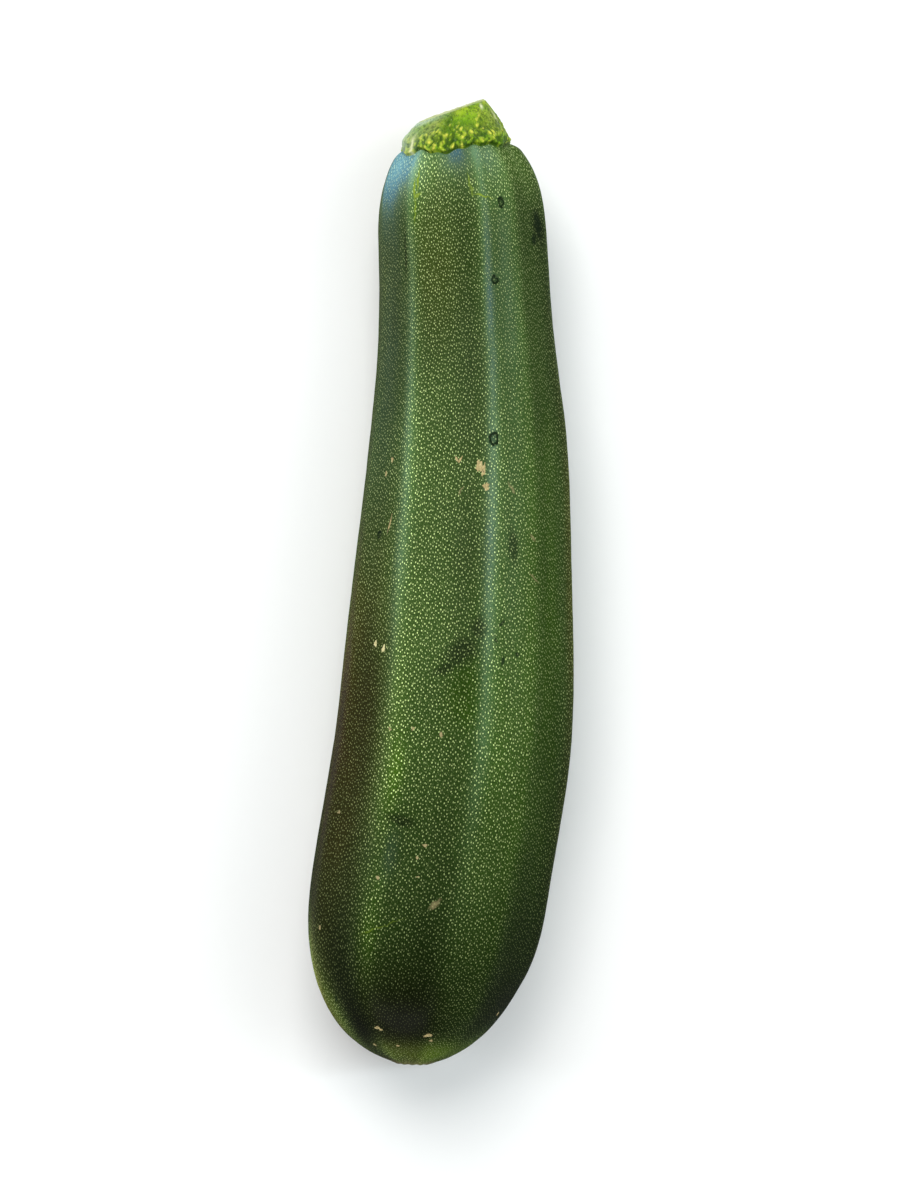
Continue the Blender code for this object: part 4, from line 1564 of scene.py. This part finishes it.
class StemLook(bpy.types.PropertyGroup):
    """Colours and relief of the stem."""

    stem_green: colour_setting("Stem green", "Main colour of the stem", (0.160, 0.320, 0.006))
    stem_light: colour_setting("Light green", "Lighter blotches of the stem", (0.370, 0.500, 0.020))
    stem_olive: colour_setting("Olive", "Duller, greyish patches", (0.290, 0.340, 0.090))
    stem_lime: colour_setting("Lime", "Fresh, smooth patches", (0.230, 0.470, 0.010))
    # The dark green paints shade in the grooves, between the warts and in the shade patches.
    stem_shade_green: colour_setting("Dark green", "Hollows between the warts", (0.022, 0.070, 0.002))
    wart_yellow: colour_setting("Wart yellow", "Tops of the warts", (0.740, 0.720, 0.090))
    # The frost colour paints bluish sky glints on the facets.
    glint_blue: colour_setting("Frost", "Bluish facets", (0.520, 0.640, 0.520))
    fibre_white: colour_setting("Fibre white", "Dry fibres on the ridges", (0.740, 0.770, 0.440))
    pith_cream: colour_setting("Pith cream", "Pale fibres of the cut", (0.640, 0.640, 0.380))
    pith_green: colour_setting("Pith green", "Green flesh of the cut", (0.360, 0.460, 0.150))
    dried_brown: colour_setting("Dried brown", "Freckles where the cut has dried", (0.300, 0.210, 0.080))
    wart_count: count_setting("Warts", "Number of large warts on the flank", 260)
    bead_count: count_setting("Beads", "Number of small warts on the flank", 1000)
    wart_level: length_setting("Wart level", "How high up the flank the warts reach", 0.0085)
    wart_radius: length_setting("Wart radius", "Radius of the largest wart", 0.00100)
    wart_height: length_setting("Wart height", "Height of the tallest wart", 0.00080)
    stem_shine: share_setting("Shine", "How strongly the stem reflects", 0.14)
    streak_height: length_setting("Streak height", "Height of the ridges between the flutes", 0.00055)
    fringe_height: length_setting("Fringe height", "Height of the lobes round the foot", 0.00070)


class ScarLook(bpy.types.PropertyGroup):
    """Colours of the healed scars."""

    cork_tan: colour_setting("Cork tan", "Crust of the healed scars", (0.400, 0.310, 0.120))
    cork_dark: colour_setting("Cork brown", "Cracks in the crust", (0.160, 0.120, 0.050))
    cork_light: colour_setting("Cork cream", "Crests of the crust", (0.580, 0.490, 0.240))
    chip_cream: colour_setting("Chip cream", "Flesh in the torn chips", (0.680, 0.620, 0.300))


class StageLook(bpy.types.PropertyGroup):
    """Ground and light of the stage."""

    ground_colour: colour_setting("Ground", "Colour of the ground", (0.965, 0.960, 0.955))
    light_share: number_setting("Light", "Strength of every light, as a share", 0.93)
    sky_colour: colour_setting("Sky", "Colour of the light from all round", (0.90, 0.95, 1.00))
    sky_strength: number_setting("Sky strength", "Strength of the light from all round", 0.10)


# ---------------------------------------------------------------- operators


class ZUCCHINI_OT_grow_fruit(bpy.types.Operator):
    """Grow the fruit's ribbed and flecked skin over its solid"""

    bl_idname = "zucchini.grow_fruit"
    bl_label = "Grow the fruit"

    def execute(self, context):
        look = context.scene.zucchini_fruit
        rings, first, last, maps, fields, slide = fruit_form(look)
        mesh = closed_mesh("fruit_skin", rings, first, last, maps, fields)
        piece = add_piece("fruit_skin", mesh, skin_material(look), "fruit")
        piece["slide"] = list(slide)
        return {"FINISHED"}


class ZUCCHINI_OT_grow_stem(bpy.types.Operator):
    """Grow the stem, seated on the fruit's crown"""

    bl_idname = "zucchini.grow_stem"
    bl_label = "Grow the stem"

    def execute(self, context):
        look = context.scene.zucchini_stem
        fruit = bpy.data.objects["fruit_skin"]
        rings, first, last, fields = stem_form(tree_of(fruit), fruit["slide"], look)
        mesh = closed_mesh("stem_flesh", rings, first, last, {}, fields)
        mesh.set_sharp_from_angle(angle=math.radians(60))
        add_piece("stem_flesh", mesh, stem_material(look), "stem")
        return {"FINISHED"}


class ZUCCHINI_OT_heal_scars(bpy.types.Operator):
    """Lay flakes of cork and cream chips on the skin"""

    bl_idname = "zucchini.heal_scars"
    bl_label = "Heal the scars"

    def execute(self, context):
        look = context.scene.zucchini_scars
        fruit = bpy.data.objects["fruit_skin"]
        skin = tree_of(fruit)
        form = (skin, fruit["slide"])
        cork = flake_material("scar_cork", look.cork_tan, look.cork_dark, look.cork_light)
        cream = flake_material("chip_flesh", look.chip_cream, look.cork_tan, look.cork_light)
        flakes = flakes_mesh("cork_flakes", skin, form, CORK_FLAKES, SEED)
        add_piece("cork_flakes", flakes, cork)
        chips = flakes_mesh("cream_chips", skin, form, CREAM_CHIPS, SEED + 1)
        add_piece("cream_chips", chips, cream)
        return {"FINISHED"}


def ground_mesh():
    """Wide round floor that curves up into a wall far away."""
    turns = np.radians(angles_around(GROUND_AROUND))
    points, faces = [(0.0, 0.0, -GROUND_DROP)], []
    for radius, height in GROUND_PROFILE[1:]:
        level = height - GROUND_DROP
        points.extend((radius * math.sin(turn), radius * math.cos(turn), level) for turn in turns)
    for step in range(GROUND_AROUND):
        after = (step + 1) % GROUND_AROUND
        faces.append((0, 1 + after, 1 + step))
        for row in range(len(GROUND_PROFILE) - 2):
            inner, outer = 1 + row * GROUND_AROUND, 1 + (row + 1) * GROUND_AROUND
            faces.append((inner + step, inner + after, outer + after, outer + step))
    mesh = bpy.data.meshes.new("ground")
    mesh.from_pydata(points, [], faces)
    mesh.shade_smooth()
    return mesh


def add_light(name, place, target, sizes, watts, colour):
    """Soft rectangular lamp that points at a place and isn't seen itself."""
    lamp = bpy.data.lights.new(name, "AREA")
    lamp.shape, lamp.size, lamp.size_y = "RECTANGLE", sizes[0], sizes[1]
    lamp.energy, lamp.color = watts, colour
    item = bpy.data.objects.new(name, lamp)
    bpy.context.scene.collection.objects.link(item)
    item.location = place
    item.rotation_euler = (Vector(target) - Vector(place)).to_track_quat("-Z", "Y").to_euler()
    item.visible_camera = False


class ZUCCHINI_OT_set_stage(bpy.types.Operator):
    """Lay the ground, hang the lights and set up the camera"""

    bl_idname = "zucchini.set_stage"
    bl_label = "Set the stage"

    def execute(self, context):
        look = context.scene.zucchini_stage
        ground = bpy.data.objects.new("ground", ground_mesh())
        ground.data.materials.append(ground_material(tuple(look.ground_colour)))
        context.scene.collection.objects.link(ground)
        for name, place, target, sizes, watts, colour in LIGHTS:
            add_light(name, place, target, sizes, watts * look.light_share, colour)
        world = bpy.data.worlds.new("studio")
        world.use_nodes = True
        sky = world.node_tree.nodes["Background"]
        sky.inputs["Color"].default_value = look.sky_colour
        sky.inputs["Strength"].default_value = look.sky_strength
        context.scene.world = world
        context.scene.view_settings.view_transform = "Standard"
        lens = bpy.data.cameras.new("camera")
        lens.lens, lens.sensor_width = CAMERA_LENS, CAMERA_SENSOR
        camera = bpy.data.objects.new("camera", lens)
        camera.location = CAMERA_PLACE
        context.scene.collection.objects.link(camera)
        context.scene.camera = camera
        return {"FINISHED"}


class ZUCCHINI_PT_panel(bpy.types.Panel):
    """Buttons that grow each piece of the zucchini"""

    bl_idname = "ZUCCHINI_PT_panel"
    bl_label = "Zucchini"
    bl_space_type = "VIEW_3D"
    bl_region_type = "UI"
    bl_category = "Zucchini"

    def draw(self, context):
        for operator, look in PIECES:
            box = self.layout.box()
            box.operator(operator.bl_idname)
            settings = getattr(context.scene, look)
            for label in settings.bl_rna.properties.keys():
                if label not in {"rna_type", "name"}:
                    box.prop(settings, label)


PIECES = (
    (ZUCCHINI_OT_grow_fruit, "zucchini_fruit"),
    (ZUCCHINI_OT_grow_stem, "zucchini_stem"),
    (ZUCCHINI_OT_heal_scars, "zucchini_scars"),
    (ZUCCHINI_OT_set_stage, "zucchini_stage"),
)
LOOKS = {
    "zucchini_fruit": FruitLook,
    "zucchini_stem": StemLook,
    "zucchini_scars": ScarLook,
    "zucchini_stage": StageLook,
}
CLASSES = (*LOOKS.values(), *(operator for operator, _ in PIECES), ZUCCHINI_PT_panel)


def register():
    """Make the settings, the operators and the panel known to Blender."""
    for item in CLASSES:
        bpy.utils.register_class(item)
    for label, look in LOOKS.items():
        setattr(bpy.types.Scene, label, PointerProperty(type=look))


def unregister():
    """Take them away again."""
    for label in LOOKS:
        delattr(bpy.types.Scene, label)
    for item in reversed(CLASSES):
        bpy.utils.unregister_class(item)


def main():
    """Dress the zucchini."""
    register()
    bpy.ops.zucchini.grow_fruit()
    bpy.ops.zucchini.grow_stem()
    bpy.ops.zucchini.heal_scars()
    bpy.ops.zucchini.set_stage()


if __name__ == "__main__":
    main()
